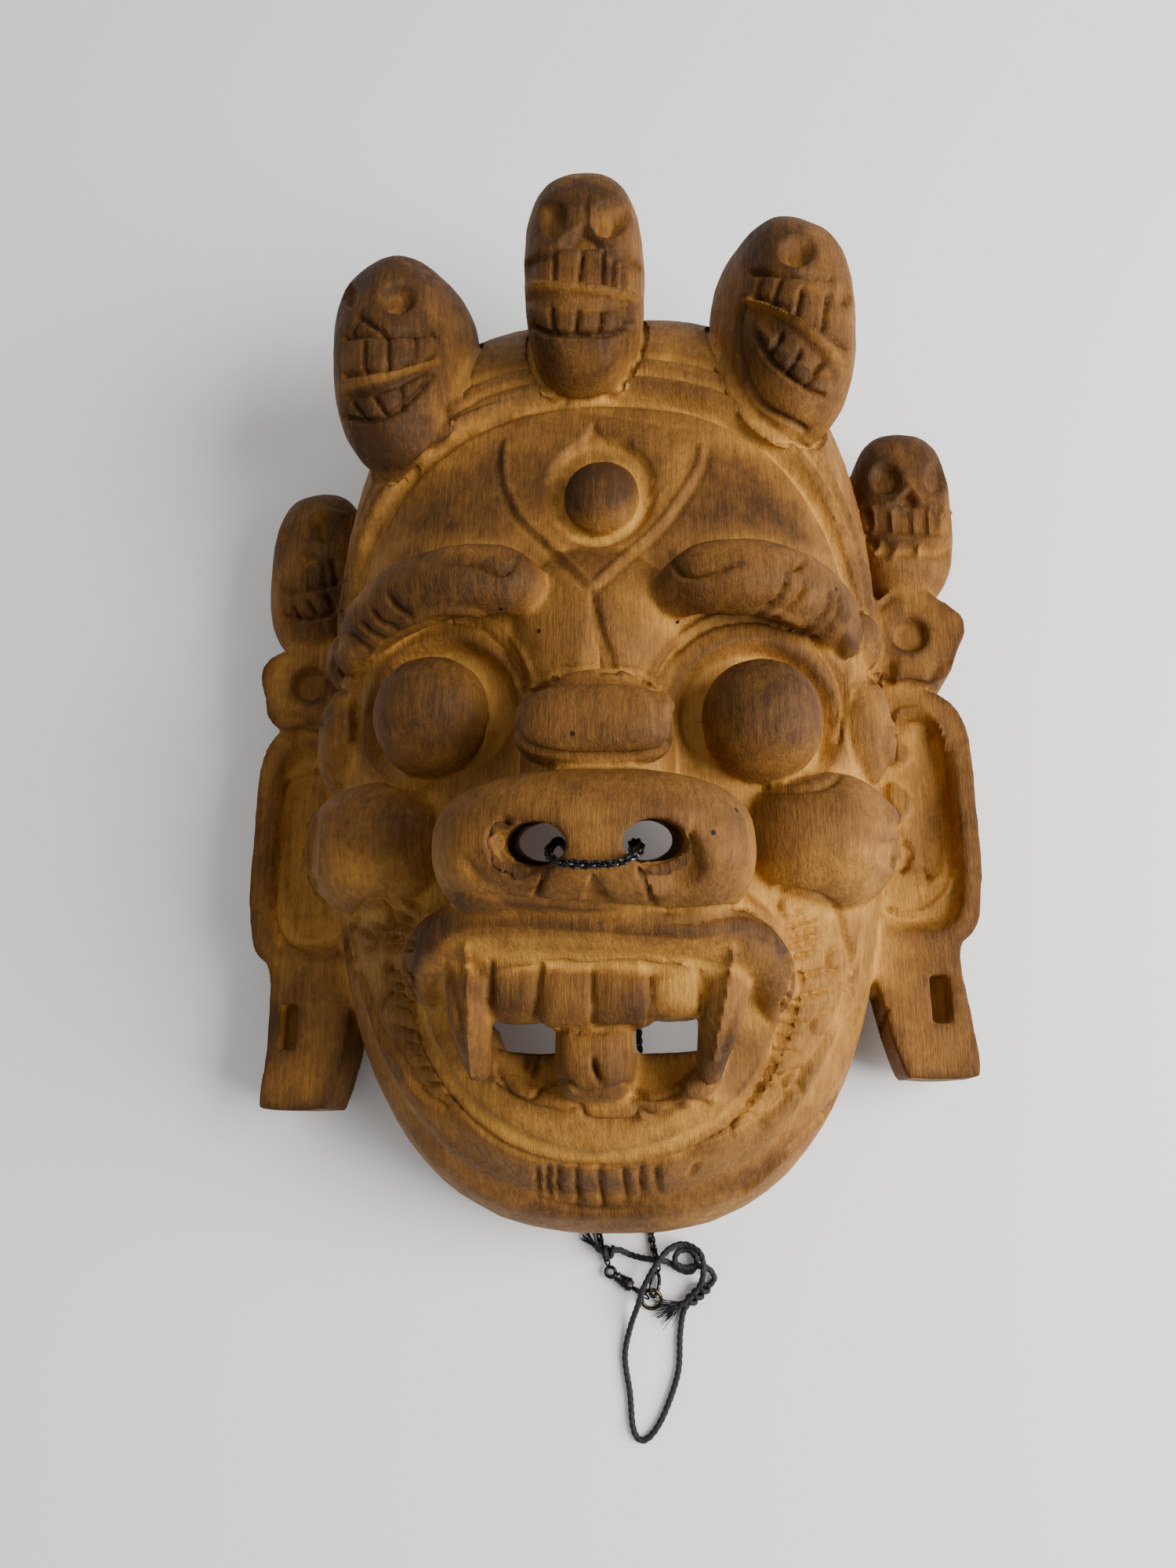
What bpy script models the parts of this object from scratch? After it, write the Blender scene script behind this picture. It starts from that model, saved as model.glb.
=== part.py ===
"""A carved wooden mahakala mask with a fine chain through its nose and a wire loop to hang it by.

The mask lies on its back rim with the face up. +X is the viewer's right, +Y runs to the crown and
+Z comes out of the face. The origin is on the rim's plane, under the middle of the wood.
Sizes are in millimetres and become metres when a mesh is made.
"""
import math

import bmesh
import bpy
import numpy as np
from mathutils import Euler, Matrix, Vector

MM = 0.001

# The head block and its hollow back
HEAD_WIDTH = 172.0
HEAD_HEIGHT = 296.0
HEAD_DEPTH = 81.0
HEAD_MIDDLE_Y = -12.5
WALL = 13.0
CHIN_FALL = 0.10
CHIN_POWER = 2.6
CROWN_POWER = 3.0
DOME_POWER = 3.4

# Crown
BAND_TOP = 51.0
BAND_SIDE = 7.0
BAND_PROUD = 3.5
BAND_LINES = (0.22, 0.42)
ROSETTE_RADIUS = 16.5
SKULL_WIDTH = 37.0
SKULL_HEIGHT = 78.0
SKULL_DEPTH = 50.0
SKULL_TURN = 30.0
SKULL_SOCKET = 4.8

# Face
EYE_RADIUS = 17.0
SOCKET_RADIUS = 23.0
SOCKET_DEPTH = 6.0
THIRD_EYE_RADIUS = 12.5
THIRD_EYE_RING = 16.5
NOSE_WIDTH = 81.0
NOSE_PROUD = 44.0
NOSTRIL_WIDTH = 15.0
NOSTRIL_HEIGHT = 11.0
NOSTRIL_SPACING = 28.0
MOUTH_WIDTH = 69.0
MOUTH_GAP = 12.0
TOOTH_WIDTH = 13.3
TOOTH_COUNT = 4
TOOTH_MIDDLE = 1.2

# Ear boards
EAR_THICKNESS = 22.0
EAR_BACK = 9.0
EAR_REACH = 27.5
EAR_RECESS = 5.0
SLOT_WIDTH = 5.5
SLOT_HEIGHT = 14.0
SLOT_DEPTH = 9.0

# Space under the chin for the chain
ARCH_WIDTH = 60.0
ARCH_HEIGHT = 6.0

# Chain, clasp and wire
CHAIN_DIAMETER = 2.0
WIRE_DIAMETER = 1.8
LINK_WIRE = 0.9
CHAIN_SPACING = 6.3
WIRE_SPACING = 4.2

# How finely the wood is cut, and how many triangles are left of it
GRAIN_STEP = 2.0
MASK_TRIANGLES = 6800

# The carving is laid out on a head of this size and stretched to the sizes above.
LAYOUT_WIDTH = 172.0
LAYOUT_HEIGHT = 296.0
LAYOUT_DEPTH = 81.0
LAYOUT_MIDDLE_Y = -15.5
WIDE = HEAD_WIDTH / LAYOUT_WIDTH
HIGH = HEAD_HEIGHT / LAYOUT_HEIGHT
DEEP = HEAD_DEPTH / LAYOUT_DEPTH


def on_face(x, y, z):
    """A point of the carving's layout, on a head of the real size."""
    return Vector((x * WIDE, HEAD_MIDDLE_Y + (y - LAYOUT_MIDDLE_Y) * HIGH, z * DEEP))


def clear_scene():
    """Remove everything that the file starts with."""
    for item in list(bpy.data.objects):
        bpy.data.objects.remove(item, do_unlink=True)


def make_material(name, colour, roughness, metallic=0.0):
    """A plain Principled material."""
    material = bpy.data.materials.new(name)
    material.use_nodes = True
    shader = material.node_tree.nodes["Principled BSDF"]
    shader.inputs["Base Color"].default_value = (*colour, 1.0)
    shader.inputs["Roughness"].default_value = roughness
    shader.inputs["Metallic"].default_value = metallic
    return material


def add_object(name, bm, material=None):
    """Make an object of a bmesh in millimetres, with its normals pointing out."""
    bmesh.ops.recalc_face_normals(bm, faces=bm.faces)
    bmesh.ops.scale(bm, vec=(MM, MM, MM), verts=bm.verts)
    mesh = bpy.data.meshes.new(name)
    bm.to_mesh(mesh)
    bm.free()
    item = bpy.data.objects.new(name, mesh)
    bpy.context.scene.collection.objects.link(item)
    if material:
        mesh.materials.append(material)
    return item


def evaluated_mesh(item):
    """The mesh of an object with its modifiers applied."""
    graph = bpy.context.evaluated_depsgraph_get()
    return bpy.data.meshes.new_from_object(item.evaluated_get(graph))


def smooth_route(points, steps=6, closed=False):
    """Points along a smooth curve through the given ones."""
    stops = [Vector(p) for p in points]
    count = len(stops)
    route = []
    for i in range(count if closed else count - 1):
        if closed:
            a, b, c, d = (stops[(i + k) % count] for k in (-1, 0, 1, 2))
        else:
            b, c = stops[i], stops[i + 1]
            a = stops[i - 1] if i else b + (b - c)
            d = stops[i + 2] if i + 2 < count else c + (c - b)
        for step in range(steps):
            t = step / steps
            route.append(0.5 * (2 * b + (c - a) * t + (2 * a - 5 * b + 4 * c - d) * t * t
                                + (3 * b - a - 3 * c + d) * t ** 3))
    if not closed:
        route.append(stops[-1])
    return route


def pose(centre, turn=(0, 0, 0)):
    """A frame at a point, turned by degrees about X, Y and Z."""
    turned = Euler([math.radians(a) for a in turn]).to_matrix().to_4x4()
    return Matrix.Translation(centre) @ turned


# Forms: closed shapes that are fused into one block of wood

def block_power(along):
    """How square the head's outline is, from the chin (-1) to the crown (1)."""
    share = np.clip(along * 3.0 + 0.5, 0.0, 1.0)
    return CHIN_POWER + (CROWN_POWER - CHIN_POWER) * share


def block_share(x, y):
    """0 in the middle of the head's outline and 1 on it."""
    across = 2 * np.abs(x) / HEAD_WIDTH
    along = 2 * (y - HEAD_MIDDLE_Y) / HEAD_HEIGHT
    power = block_power(along)
    return (across ** power + np.abs(along) ** power) ** (1.0 / power)


def block_height(x, y):
    """Height of the head block's plain surface over a point of the rim's plane."""
    along = 2 * (y - HEAD_MIDDLE_Y) / HEAD_HEIGHT
    rise = np.clip(1.0 - block_share(x, y) ** DOME_POWER, 0.0, 1.0) ** (1.0 / DOME_POWER)
    return HEAD_DEPTH * rise * (1.0 - CHIN_FALL * np.clip(-along, 0.0, 1.0))


def block(width, height, depth, floor, detail=5):
    """A rounded block, flat below, with a chin that falls away."""
    bm = bmesh.new()
    bmesh.ops.create_icosphere(bm, subdivisions=detail, radius=1.0)
    for vert in bm.verts:
        d = vert.co.normalized()
        power = float(block_power(d.y))
        flat = (abs(d.x) ** power + abs(d.y) ** power) ** (DOME_POWER / power)
        d *= (flat + abs(d.z) ** DOME_POWER) ** (-1.0 / DOME_POWER)
        fall = 1.0 - CHIN_FALL * max(0.0, -d.y)
        vert.co = (d.x * width / 2, HEAD_MIDDLE_Y + d.y * height / 2, d.z * depth * fall)
    cut_floor(bm, floor)
    return bm


def cut_floor(bm, floor):
    """Cut a closed shape off flat at a height and close it there."""
    geometry = list(bm.verts) + list(bm.edges) + list(bm.faces)
    cut = bmesh.ops.bisect_plane(bm, geom=geometry, plane_co=(0, 0, floor), plane_no=(0, 0, 1),
                                 clear_inner=True)["geom_cut"]
    edges = [g for g in cut if isinstance(g, bmesh.types.BMEdge)]
    if edges:
        bmesh.ops.edgeloop_fill(bm, edges=edges)


def lump(frame, radii, power=2.2, taper=0.0, detail=4):
    """A rounded lump in a frame, squarer as power grows and narrower towards its +Y by taper."""
    bm = bmesh.new()
    bmesh.ops.create_icosphere(bm, subdivisions=detail, radius=1.0)
    for vert in bm.verts:
        d = vert.co.normalized()
        d *= sum(abs(c) ** power for c in d) ** (-1.0 / power)
        vert.co = (d.x * radii[0] * (1.0 - taper * d.y), d.y * radii[1], d.z * radii[2])
    bmesh.ops.transform(bm, matrix=frame, verts=bm.verts)
    return bm


def bar(route, widths, heights, sides=16, up=(0, 0, 1), closed=False):
    """A rounded bar along a route, with its widths and heights spread evenly along it."""
    count = len(route)
    frames = []
    for i, point in enumerate(route):
        if closed:
            ahead = route[(i + 1) % count] - route[i - 1]
        else:
            ahead = route[min(i + 1, count - 1)] - route[max(i - 1, 0)]
        ahead.normalize()
        side = ahead.cross(Vector(up)).normalized()
        lift = side.cross(ahead)
        share = i / (count - 1)
        wide = np.interp(share * (len(widths) - 1), range(len(widths)), widths) / 2
        tall = np.interp(share * (len(heights) - 1), range(len(heights)), heights) / 2
        frame = Matrix((side * wide, lift * tall, ahead)).transposed().to_4x4()
        frame.translation = point
        frames.append(frame)
    bm = bmesh.new()
    ring = bmesh.ops.create_circle(bm, segments=sides, radius=1.0)["verts"]
    bmesh.ops.transform(bm, matrix=frames[0], verts=ring)
    first = edges = list(bm.edges)
    for before, after in zip(frames, frames[1:]):
        grown = bmesh.ops.extrude_edge_only(bm, edges=edges)["geom"]
        ring = [g for g in grown if isinstance(g, bmesh.types.BMVert)]
        found = set(ring)
        edges = [g for g in grown if isinstance(g, bmesh.types.BMEdge) and found.issuperset(g.verts)]
        bmesh.ops.transform(bm, matrix=after @ before.inverted(), verts=ring)
    if closed:
        bmesh.ops.bridge_loops(bm, edges=edges + first)
    else:
        bmesh.ops.edgeloop_fill(bm, edges=edges)
        bmesh.ops.edgeloop_fill(bm, edges=first)
    return bm


def board(outline, low, high):
    """A flat board with a smooth closed outline between two heights."""
    bm = bmesh.new()
    corners = [bm.verts.new((p.x, p.y, low)) for p in smooth_route(outline, 5, closed=True)]
    face = bm.faces.new(corners)
    grown = bmesh.ops.extrude_face_region(bm, geom=[face])["geom"]
    tops = [g for g in grown if isinstance(g, bmesh.types.BMVert)]
    bmesh.ops.translate(bm, vec=(0, 0, high - low), verts=tops)
    return bm


def head_forms():
    """The cheeks, temples, brow root and chin that swell from the plain head."""
    forms = []
    for side in (-1, 1):
        forms.append(lump(pose(on_face(side * 60.5, -57, 60)), (23 * WIDE, 19.5, 26), 2.3))
        forms.append(lump(pose(on_face(side * 76, -21, 50)), (10 * WIDE, 17, 15), 2.4))
        forms.append(lump(pose(on_face(side * 77, 7, 50)), (8 * WIDE, 9, 13), 2.2))
    forms.append(lump(pose(on_face(1, 2, 68)), (27 * WIDE, 30, 23), 2.2))
    forms.append(lump(pose(on_face(2, -38, 82)), (21 * WIDE, 24, 22), 2.4))
    forms.append(lump(pose(on_face(1, -112, 34)), (54 * WIDE, 40, 38), 2.4))
    return forms


def nose_forms():
    """The wide nose with its wings, and the pad above it."""
    rise = HEAD_DEPTH + NOSE_PROUD
    half = NOSE_WIDTH / 2
    middle = on_face(2, -64, 0) + Vector((0, 0, rise - 28))
    forms = [lump(pose(middle, (6, 0, 0)), (half, 18, 28), 2.5)]
    for side in (-1, 1):
        wing = on_face(2, -66, 0) + Vector((side * (half - 15), 0, rise - 31))
        forms.append(lump(pose(wing), (15.5, 16.5, 26), 2.2))
    forms.append(lump(pose(on_face(3, -37, 109)), (20, 10, 10), 3.0))
    return forms


EYES = ((-44.5, -23), (46.5, -27))


def eye_forms():
    """Eyeballs, the third eye and the brows."""
    third = (THIRD_EYE_RADIUS, THIRD_EYE_RADIUS * 1.04, THIRD_EYE_RADIUS * 1.08)
    forms = [lump(pose(on_face(3, 43.5, 75)), third, 2.1)]
    for x, y in EYES:
        ball = pose(on_face(x, y, 80.5))
        forms.append(lump(ball, (EYE_RADIUS * 0.97, EYE_RADIUS, EYE_RADIUS), 2.1))
    left = ((-14, 11, 82), (-24, 14, 89), (-38, 14, 90), (-54, 12, 84), (-66, 8, 75), (-74, 2, 63))
    right = ((20, 9, 82), (31, 12, 89), (45, 12, 90), (58, 10, 84), (67, 7, 75), (73, 2, 64))
    for brow in (left, right):
        route = smooth_route([on_face(*p) for p in brow])
        forms.append(bar(route, (12, 20, 21, 21, 18, 11), (12, 17, 17, 16, 14, 9)))
    return forms


def mouth_forms():
    """The muzzle and the upper lip."""
    forms = [lump(pose(on_face(1, -86, 58)), (50 * WIDE, 21, 36), 2.6)]
    lip = ((-45, -100, 62), (-46, -93, 72), (-39, -86, 83), (-22, -84, 90), (1, -84, 92),
           (24, -85, 90), (40, -88, 83), (47, -95, 72), (47, -102, 62))
    forms.append(bar(smooth_route([on_face(*p) for p in lip]), (8, 13, 17, 17, 17, 13, 8),
                     (12, 16, 18, 18, 18, 16, 12)))
    return forms


def tooth_forms():
    """Teeth, fangs, the lower gum and the tongue."""
    forms = []
    for i in range(TOOTH_COUNT):
        x = TOOTH_MIDDLE + (i - (TOOTH_COUNT - 1) / 2) * TOOTH_WIDTH
        bend = (x / 30) ** 2
        tooth = pose(on_face(x, -99, 80 - 4 * bend))
        forms.append(lump(tooth, (TOOTH_WIDTH / 2 + 0.3, 9.5, 10), 3.4, detail=3))
    for fang in (((-31, -91, 76), (-31, -103, 82), (-28, -121, 72)),
                 ((38, -93, 76), (35, -106, 82), (28, -125, 72))):
        route = smooth_route([on_face(*p) for p in fang])
        forms.append(bar(route, (13, 10, 6), (18, 14, 7)))
    gum = ((-32, -108, 58), (-27, -120, 60), (-15, -127, 61), (1, -129, 61), (17, -128, 61),
           (29, -121, 60), (35, -109, 58))
    forms.append(bar(smooth_route([on_face(*p) for p in gum]), (8, 11, 8), (18, 18, 18)))
    forms.append(lump(pose(on_face(0, -114, 66), (-6, 0, 0)), (10.5, 13.5, 16), 3.4))
    return forms


CROWN_SKULLS = (
    (Vector((-2.5, 118.5, 74)), 0, 0),
    (Vector((-60, 99, 66)), -SKULL_TURN, 5),
    (Vector((58.5, 104, 66)), SKULL_TURN, -2),
)


def crown_skull_frames():
    """Where each crown skull stands, and which way it looks."""
    return [pose(on_face(*spot), (-3, turn, lean)) for spot, turn, lean in CROWN_SKULLS]


def crown_forms():
    """The three skulls that stand on the crown."""
    radii = (SKULL_WIDTH / 2, SKULL_HEIGHT / 2, SKULL_DEPTH / 2)
    return [lump(frame, radii, 2.7, -0.08) for frame in crown_skull_frames()]


# The side boards. Each line: side, then the middles along Y of the skull, rosette, ear and slot
EARS = (
    (-1, 48, 4, -46, -103.5),
    (1, 60, 14, -42, -97),
)
EAR_MIDDLE = HEAD_WIDTH / 2 + 12
EAR_TOP = EAR_BACK + EAR_THICKNESS
EAR_SKULL = (16.0, 30.5, 14.0)


def ear_skull_frames():
    """Where each side skull stands."""
    frames = []
    for side, skull_y, _, _, _ in EARS:
        spot = on_face(0, skull_y, 0) + Vector((side * EAR_MIDDLE, 0, EAR_TOP - 4))
        frames.append(pose(spot, (0, side * 8, 0)))
    return frames


def ear_forms():
    """Each side board: a skull, a rosette and a long ear above a tapering tab."""
    forms = [lump(frame, EAR_SKULL, 2.8) for frame in ear_skull_frames()]
    inner = HEAD_WIDTH / 2 - 9
    half = (EAR_REACH + 9) / 2
    for side, skull_y, rosette_y, ear_y, _ in EARS:
        spine = [(inner - 3, skull_y + 14), (inner + 12, skull_y + 8), (inner + 15, skull_y - 20),
                 (inner + 14, ear_y + 30), (inner - 3, ear_y + 24)]
        corners = [on_face(0, y, 0) + Vector((side * x, 0, 0)) for x, y in spine]
        forms.append(board(corners, EAR_BACK, EAR_TOP - 3))
        heart = on_face(0, rosette_y, 0) + Vector((side * (EAR_MIDDLE - 1), 0, 0))
        petals = []
        for step in range(20):
            turn = math.tau * step / 20
            reach = ROSETTE_RADIUS * (1.0 + 0.14 * math.cos(5 * turn - 1.2))
            petals.append(heart + Vector((reach * math.cos(turn), reach * math.sin(turn), 0)))
        forms.append(board(petals, EAR_BACK, EAR_TOP + 4))
        middle = on_face(0, ear_y, 0) + Vector((side * (inner + half), 0, 0))
        ear = [(-1, 36), (-0.4, 42), (0.5, 40), (0.95, 28), (1, 0), (0.96, -22), (0.6, -38), (-1, -42)]
        tab = [(-0.9, -30), (0.55, -30), (0.52, -44), (0.62, -60), (0.68, -75), (0.5, -77.5),
               (-0.3, -77.5), (-0.5, -75), (-0.78, -55)]
        for outline in (ear, tab):
            corners = [middle + Vector((side * half * x, y * HIGH, 0)) for x, y in outline]
            forms.append(board(corners, EAR_BACK, EAR_TOP))
    return forms


def back_cutters():
    """The hollow back and the two nostrils that run into it."""
    cuts = [block(HEAD_WIDTH - 2 * WALL, HEAD_HEIGHT - 2 * WALL, HEAD_DEPTH - WALL, -9.0)]
    for side in (-1, 1):
        start = on_face(6 + side * NOSTRIL_SPACING / 2, -75.5, 145)
        finish = on_face(-3 + side * NOSTRIL_SPACING / 2, -47, 30)
        bore = bar([start, finish], (NOSTRIL_WIDTH,) * 2, (NOSTRIL_HEIGHT,) * 2, up=(0, 1, 0))
        cuts.append(bore)
    return cuts


def mouth_cutters():
    """The slot that goes right through and the flare in front of it."""
    slot = lump(pose(on_face(1, -108, 40)), (MOUTH_WIDTH / 2, MOUTH_GAP / 2, 70), 4.0)
    flare = lump(pose(on_face(1, -111, 86)), (MOUTH_WIDTH / 2 + 3, 18, 24), 2.8)
    return [slot, flare]


def slot_cutters():
    """The blind slot in each tab."""
    cuts = []
    for side, _, _, _, slot_y in EARS:
        centre = on_face(0, slot_y, 0) + Vector((side * EAR_MIDDLE, 0, EAR_TOP))
        bm = bmesh.new()
        size = (SLOT_WIDTH, SLOT_HEIGHT, 2 * SLOT_DEPTH)
        frame = Matrix.Translation(centre) @ Matrix.Diagonal((*size, 1))
        bmesh.ops.create_cube(bm, size=1.0, matrix=frame)
        cuts.append(bm)
    return cuts


def cut_away(item, tools):
    """Take the cutters out of a form and keep the result as its mesh."""
    for tool in tools:
        cut = item.modifiers.new("Cut", "BOOLEAN")
        cut.operation = "DIFFERENCE"
        cut.object = tool
    mesh = evaluated_mesh(item)
    item.modifiers.clear()
    item.data = mesh


def fuse(name, items, step):
    """Join closed forms into one object and remesh them into one skin."""
    bm = bmesh.new()
    for item in items:
        bm.from_mesh(item.data)
        bpy.data.objects.remove(item, do_unlink=True)
    mesh = bpy.data.meshes.new(name)
    bm.to_mesh(mesh)
    bm.free()
    joined = bpy.data.objects.new(name, mesh)
    bpy.context.scene.collection.objects.link(joined)
    skin = joined.modifiers.new("Skin", "REMESH")
    skin.mode = "VOXEL"
    skin.voxel_size = step * MM
    joined.data = evaluated_mesh(joined)
    joined.modifiers.clear()
    return joined


# Carving: pushing the fused skin in and out

def ramp(value, start, finish):
    """0 before start and 1 after finish, with a smooth turn between."""
    share = np.clip((value - start) / (finish - start), 0.0, 1.0)
    return share * share * (3.0 - 2.0 * share)


class Chisel:
    """Moves the points of a fused mesh along their outward directions."""

    def __init__(self, mesh):
        self.mesh = mesh
        count = len(mesh.vertices)
        self.points = np.empty(count * 3)
        mesh.vertices.foreach_get("co", self.points)
        self.points = self.points.reshape(-1, 3) / MM
        self.outward = np.empty(count * 3)
        mesh.vertices.foreach_get("normal", self.outward)
        self.outward = self.outward.reshape(-1, 3)
        self.look(Matrix.Identity(4))

    def look(self, frame):
        """Look at the points from a frame: x, y and z are measured in it."""
        turn = np.array(frame.to_3x3())
        place = (self.points - np.array(frame.translation)) @ turn
        self.x, self.y, self.z = place.T
        self.facing = (self.outward @ turn)[:, 2]

    def raise_by(self, amount, where=1.0):
        """Move the points outwards by an amount, in millimetres."""
        self.points += self.outward * (amount * where)[:, None]

    def distance(self, route, closed=False):
        """How far each point is from a route, across the frame."""
        nearest = np.full(len(self.points), np.inf)
        stops = list(route) + ([route[0]] if closed else [])
        for a, b in zip(stops, stops[1:]):
            along = np.array((b[0] - a[0], b[1] - a[1]))
            dx, dy = self.x - a[0], self.y - a[1]
            share = np.clip((dx * along[0] + dy * along[1]) / max(along @ along, 1e-9), 0.0, 1.0)
            nearest = np.minimum(nearest, np.hypot(dx - share * along[0], dy - share * along[1]))
        return nearest

    def groove(self, route, width, depth, where=1.0, closed=False):
        """Cut a rounded groove along a route."""
        share = self.distance(route, closed) / (width / 2)
        self.raise_by(-depth * np.clip(1.0 - share * share, 0.0, 1.0), where)

    def finish(self):
        """Give the moved points back to the mesh."""
        self.mesh.vertices.foreach_set("co", (self.points * MM).ravel())
        self.mesh.update()


def carve_skull(chisel, frame, half_width, half_height, socket):
    """A skull's face: sockets, an arched nose and two toothed ledges round an open mouth."""
    chisel.look(frame)
    front = ramp(chisel.facing, 0.0, 0.3) * (chisel.z > 0)
    u = chisel.x / half_width
    v = chisel.y / half_height + 0.10 * (1.0 - u * u)
    front = front * (np.abs(u) < 1.3) * (np.abs(v) < 1.3)
    for side in (-1, 1):
        away = np.hypot(chisel.x - side * 0.48 * half_width, chisel.y - 0.52 * half_height)
        chisel.raise_by(-0.75 * socket * (1.0 - ramp(away, 0.5 * socket, 1.1 * socket)), front)
    upper = ramp(v, -0.16, -0.11) * (1.0 - ramp(v, 0.24, 0.29))
    lower = ramp(v, -0.52, -0.47) * (1.0 - ramp(v, -0.26, -0.21))
    mouth = ramp(v, -0.26, -0.21) * (1.0 - ramp(v, -0.16, -0.11))
    chisel.raise_by(1.6 * upper + 1.6 * lower - 3.0 * mouth, front)
    foot = 0.2 * half_height
    nose = [(-0.42 * half_width, foot), (0, 0.44 * half_height), (0.42 * half_width, foot)]
    chisel.groove(nose, 3.5, 1.6, front)


def carve_face(chisel):
    """Sockets, third eye, crown band, lip hollow, ear recesses and the jaw's steps."""
    chisel.look(Matrix.Identity(4))
    x, y, z = chisel.x.copy(), chisel.y.copy(), chisel.z.copy()
    front = ramp(chisel.facing, 0.05, 0.35) * (z > 0.3 * HEAD_DEPTH)
    share = block_share(x, y)
    plain = block_height(x, y)
    skin = front * (np.abs(z - plain) < 6) * (share < 0.999)
    crown = ramp(y, on_face(0, 5, 0).y, on_face(0, 20, 0).y)
    brow_y = on_face(0, 0, 0).y
    inner = ((np.abs(x) / (HEAD_WIDTH / 2 - BAND_SIDE)) ** 2.2
             + (np.clip(y - brow_y, 0, None) / (HEAD_HEIGHT / 2 + HEAD_MIDDLE_Y - brow_y - BAND_TOP)) ** 2.2)
    past = np.clip(inner ** (1 / 2.2) - 1.0, -1.0, None)
    band = ramp(past, -0.01, 0.03) * crown
    chisel.raise_by(BAND_PROUD * band - 2.5 * np.clip(1.0 - np.abs(past + 0.01) / 0.04, 0, 1) * crown, skin)
    over = past / (past + 1.0 - share + 1e-6)
    for line in BAND_LINES:
        chisel.raise_by(-1.4 * np.clip(1.0 - np.abs(over - line) / 0.05, 0, 1) * crown, skin)
    for ex, ey in EYES:
        spot = on_face(ex, ey + 2.5, 0)
        away = np.hypot(x - spot.x, (y - spot.y) * 1.05)
        ring = ramp(away, EYE_RADIUS - 2.5, EYE_RADIUS + 0.5)
        ring = ring * (1.0 - ramp(away, SOCKET_RADIUS - 2, SOCKET_RADIUS + 1))
        below = ramp(y, spot.y - EYE_RADIUS - 2, spot.y - 4)
        chisel.raise_by(-SOCKET_DEPTH * ring * (z < 0.98 * HEAD_DEPTH + 4), front * below)
    spot = on_face(3, 43.5, 0)
    away = np.hypot(x - spot.x, (y - spot.y) / 1.04)
    ring = ramp(away, THIRD_EYE_RADIUS - 1.5, THIRD_EYE_RADIUS)
    spot = on_face(2.5, 47, 0)
    away = np.hypot(x - spot.x, (y - spot.y) / 1.15)
    ring = ring * (1.0 - ramp(away, THIRD_EYE_RING - 1.5, THIRD_EYE_RING + 0.5))
    chisel.raise_by(-2.8 * ring, front)
    shield = smooth_route([on_face(-27, 68, 0), on_face(-21, 45, 0), on_face(1, 14, 0)], 4)
    chisel.groove(shield, 4, 1.6, front)
    shield = smooth_route([on_face(32, 64, 0), on_face(26, 43, 0), on_face(1, 14, 0)], 4)
    chisel.groove(shield, 4, 1.6, front)
    chisel.groove([on_face(1, 14, 0), on_face(2, -12, 0)], 5, 2.5, front)
    lip = smooth_route([on_face(-34, -91, 0), on_face(1, -90, 0), on_face(36, -93, 0)], 4)
    chisel.groove(lip, 10, 3.0, front)
    jaw = [on_face(-52, -92, 0), on_face(-46, -112, 0), on_face(-32, -130, 0), on_face(0, -142, 0),
           on_face(34, -131, 0), on_face(48, -113, 0), on_face(54, -95, 0)]
    chisel.groove(smooth_route(jaw, 4), 5, 1.6, front * (z < 0.98 * HEAD_DEPTH))
    low = ramp(-y, 62, 75)
    edge = np.clip(1.0 - np.abs(share - 0.93) / 0.03, 0, 1)
    chisel.raise_by(-1.8 * edge * low, ramp(chisel.facing, 0.05, 0.35) * (z > 12) * (share < 1))


def carve_ears(chisel):
    """The long recess in each ear and the eye of each rosette."""
    chisel.look(Matrix.Identity(4))
    face = ramp(chisel.facing, 0.4, 0.7)
    for side, _, rosette_y, ear_y, _ in EARS:
        centre = on_face(0, ear_y, 0) + Vector((side * (HEAD_WIDTH / 2 + 8), 0, 0))
        across = np.abs(chisel.x - centre.x) / 13.5
        along = np.abs(chisel.y - centre.y + 1) / 33.0
        inside = 1.0 - ramp((across ** 4 + along ** 4) ** 0.25, 0.9, 1.06)
        beyond = (np.abs(chisel.x) > HEAD_WIDTH / 2 - 3) * (chisel.z < EAR_TOP + 2) * (chisel.z > EAR_TOP - 6)
        chisel.raise_by(-EAR_RECESS * inside, face * beyond)
        centre = on_face(0, rosette_y, 0) + Vector((side * (EAR_MIDDLE - 1), 0, 0))
        away = np.hypot(chisel.x - centre.x, chisel.y - centre.y)
        chisel.raise_by(-4.0 * (1.0 - ramp(away, 3.0, 5.5)), face * (chisel.z > EAR_BACK + 4))


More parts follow.
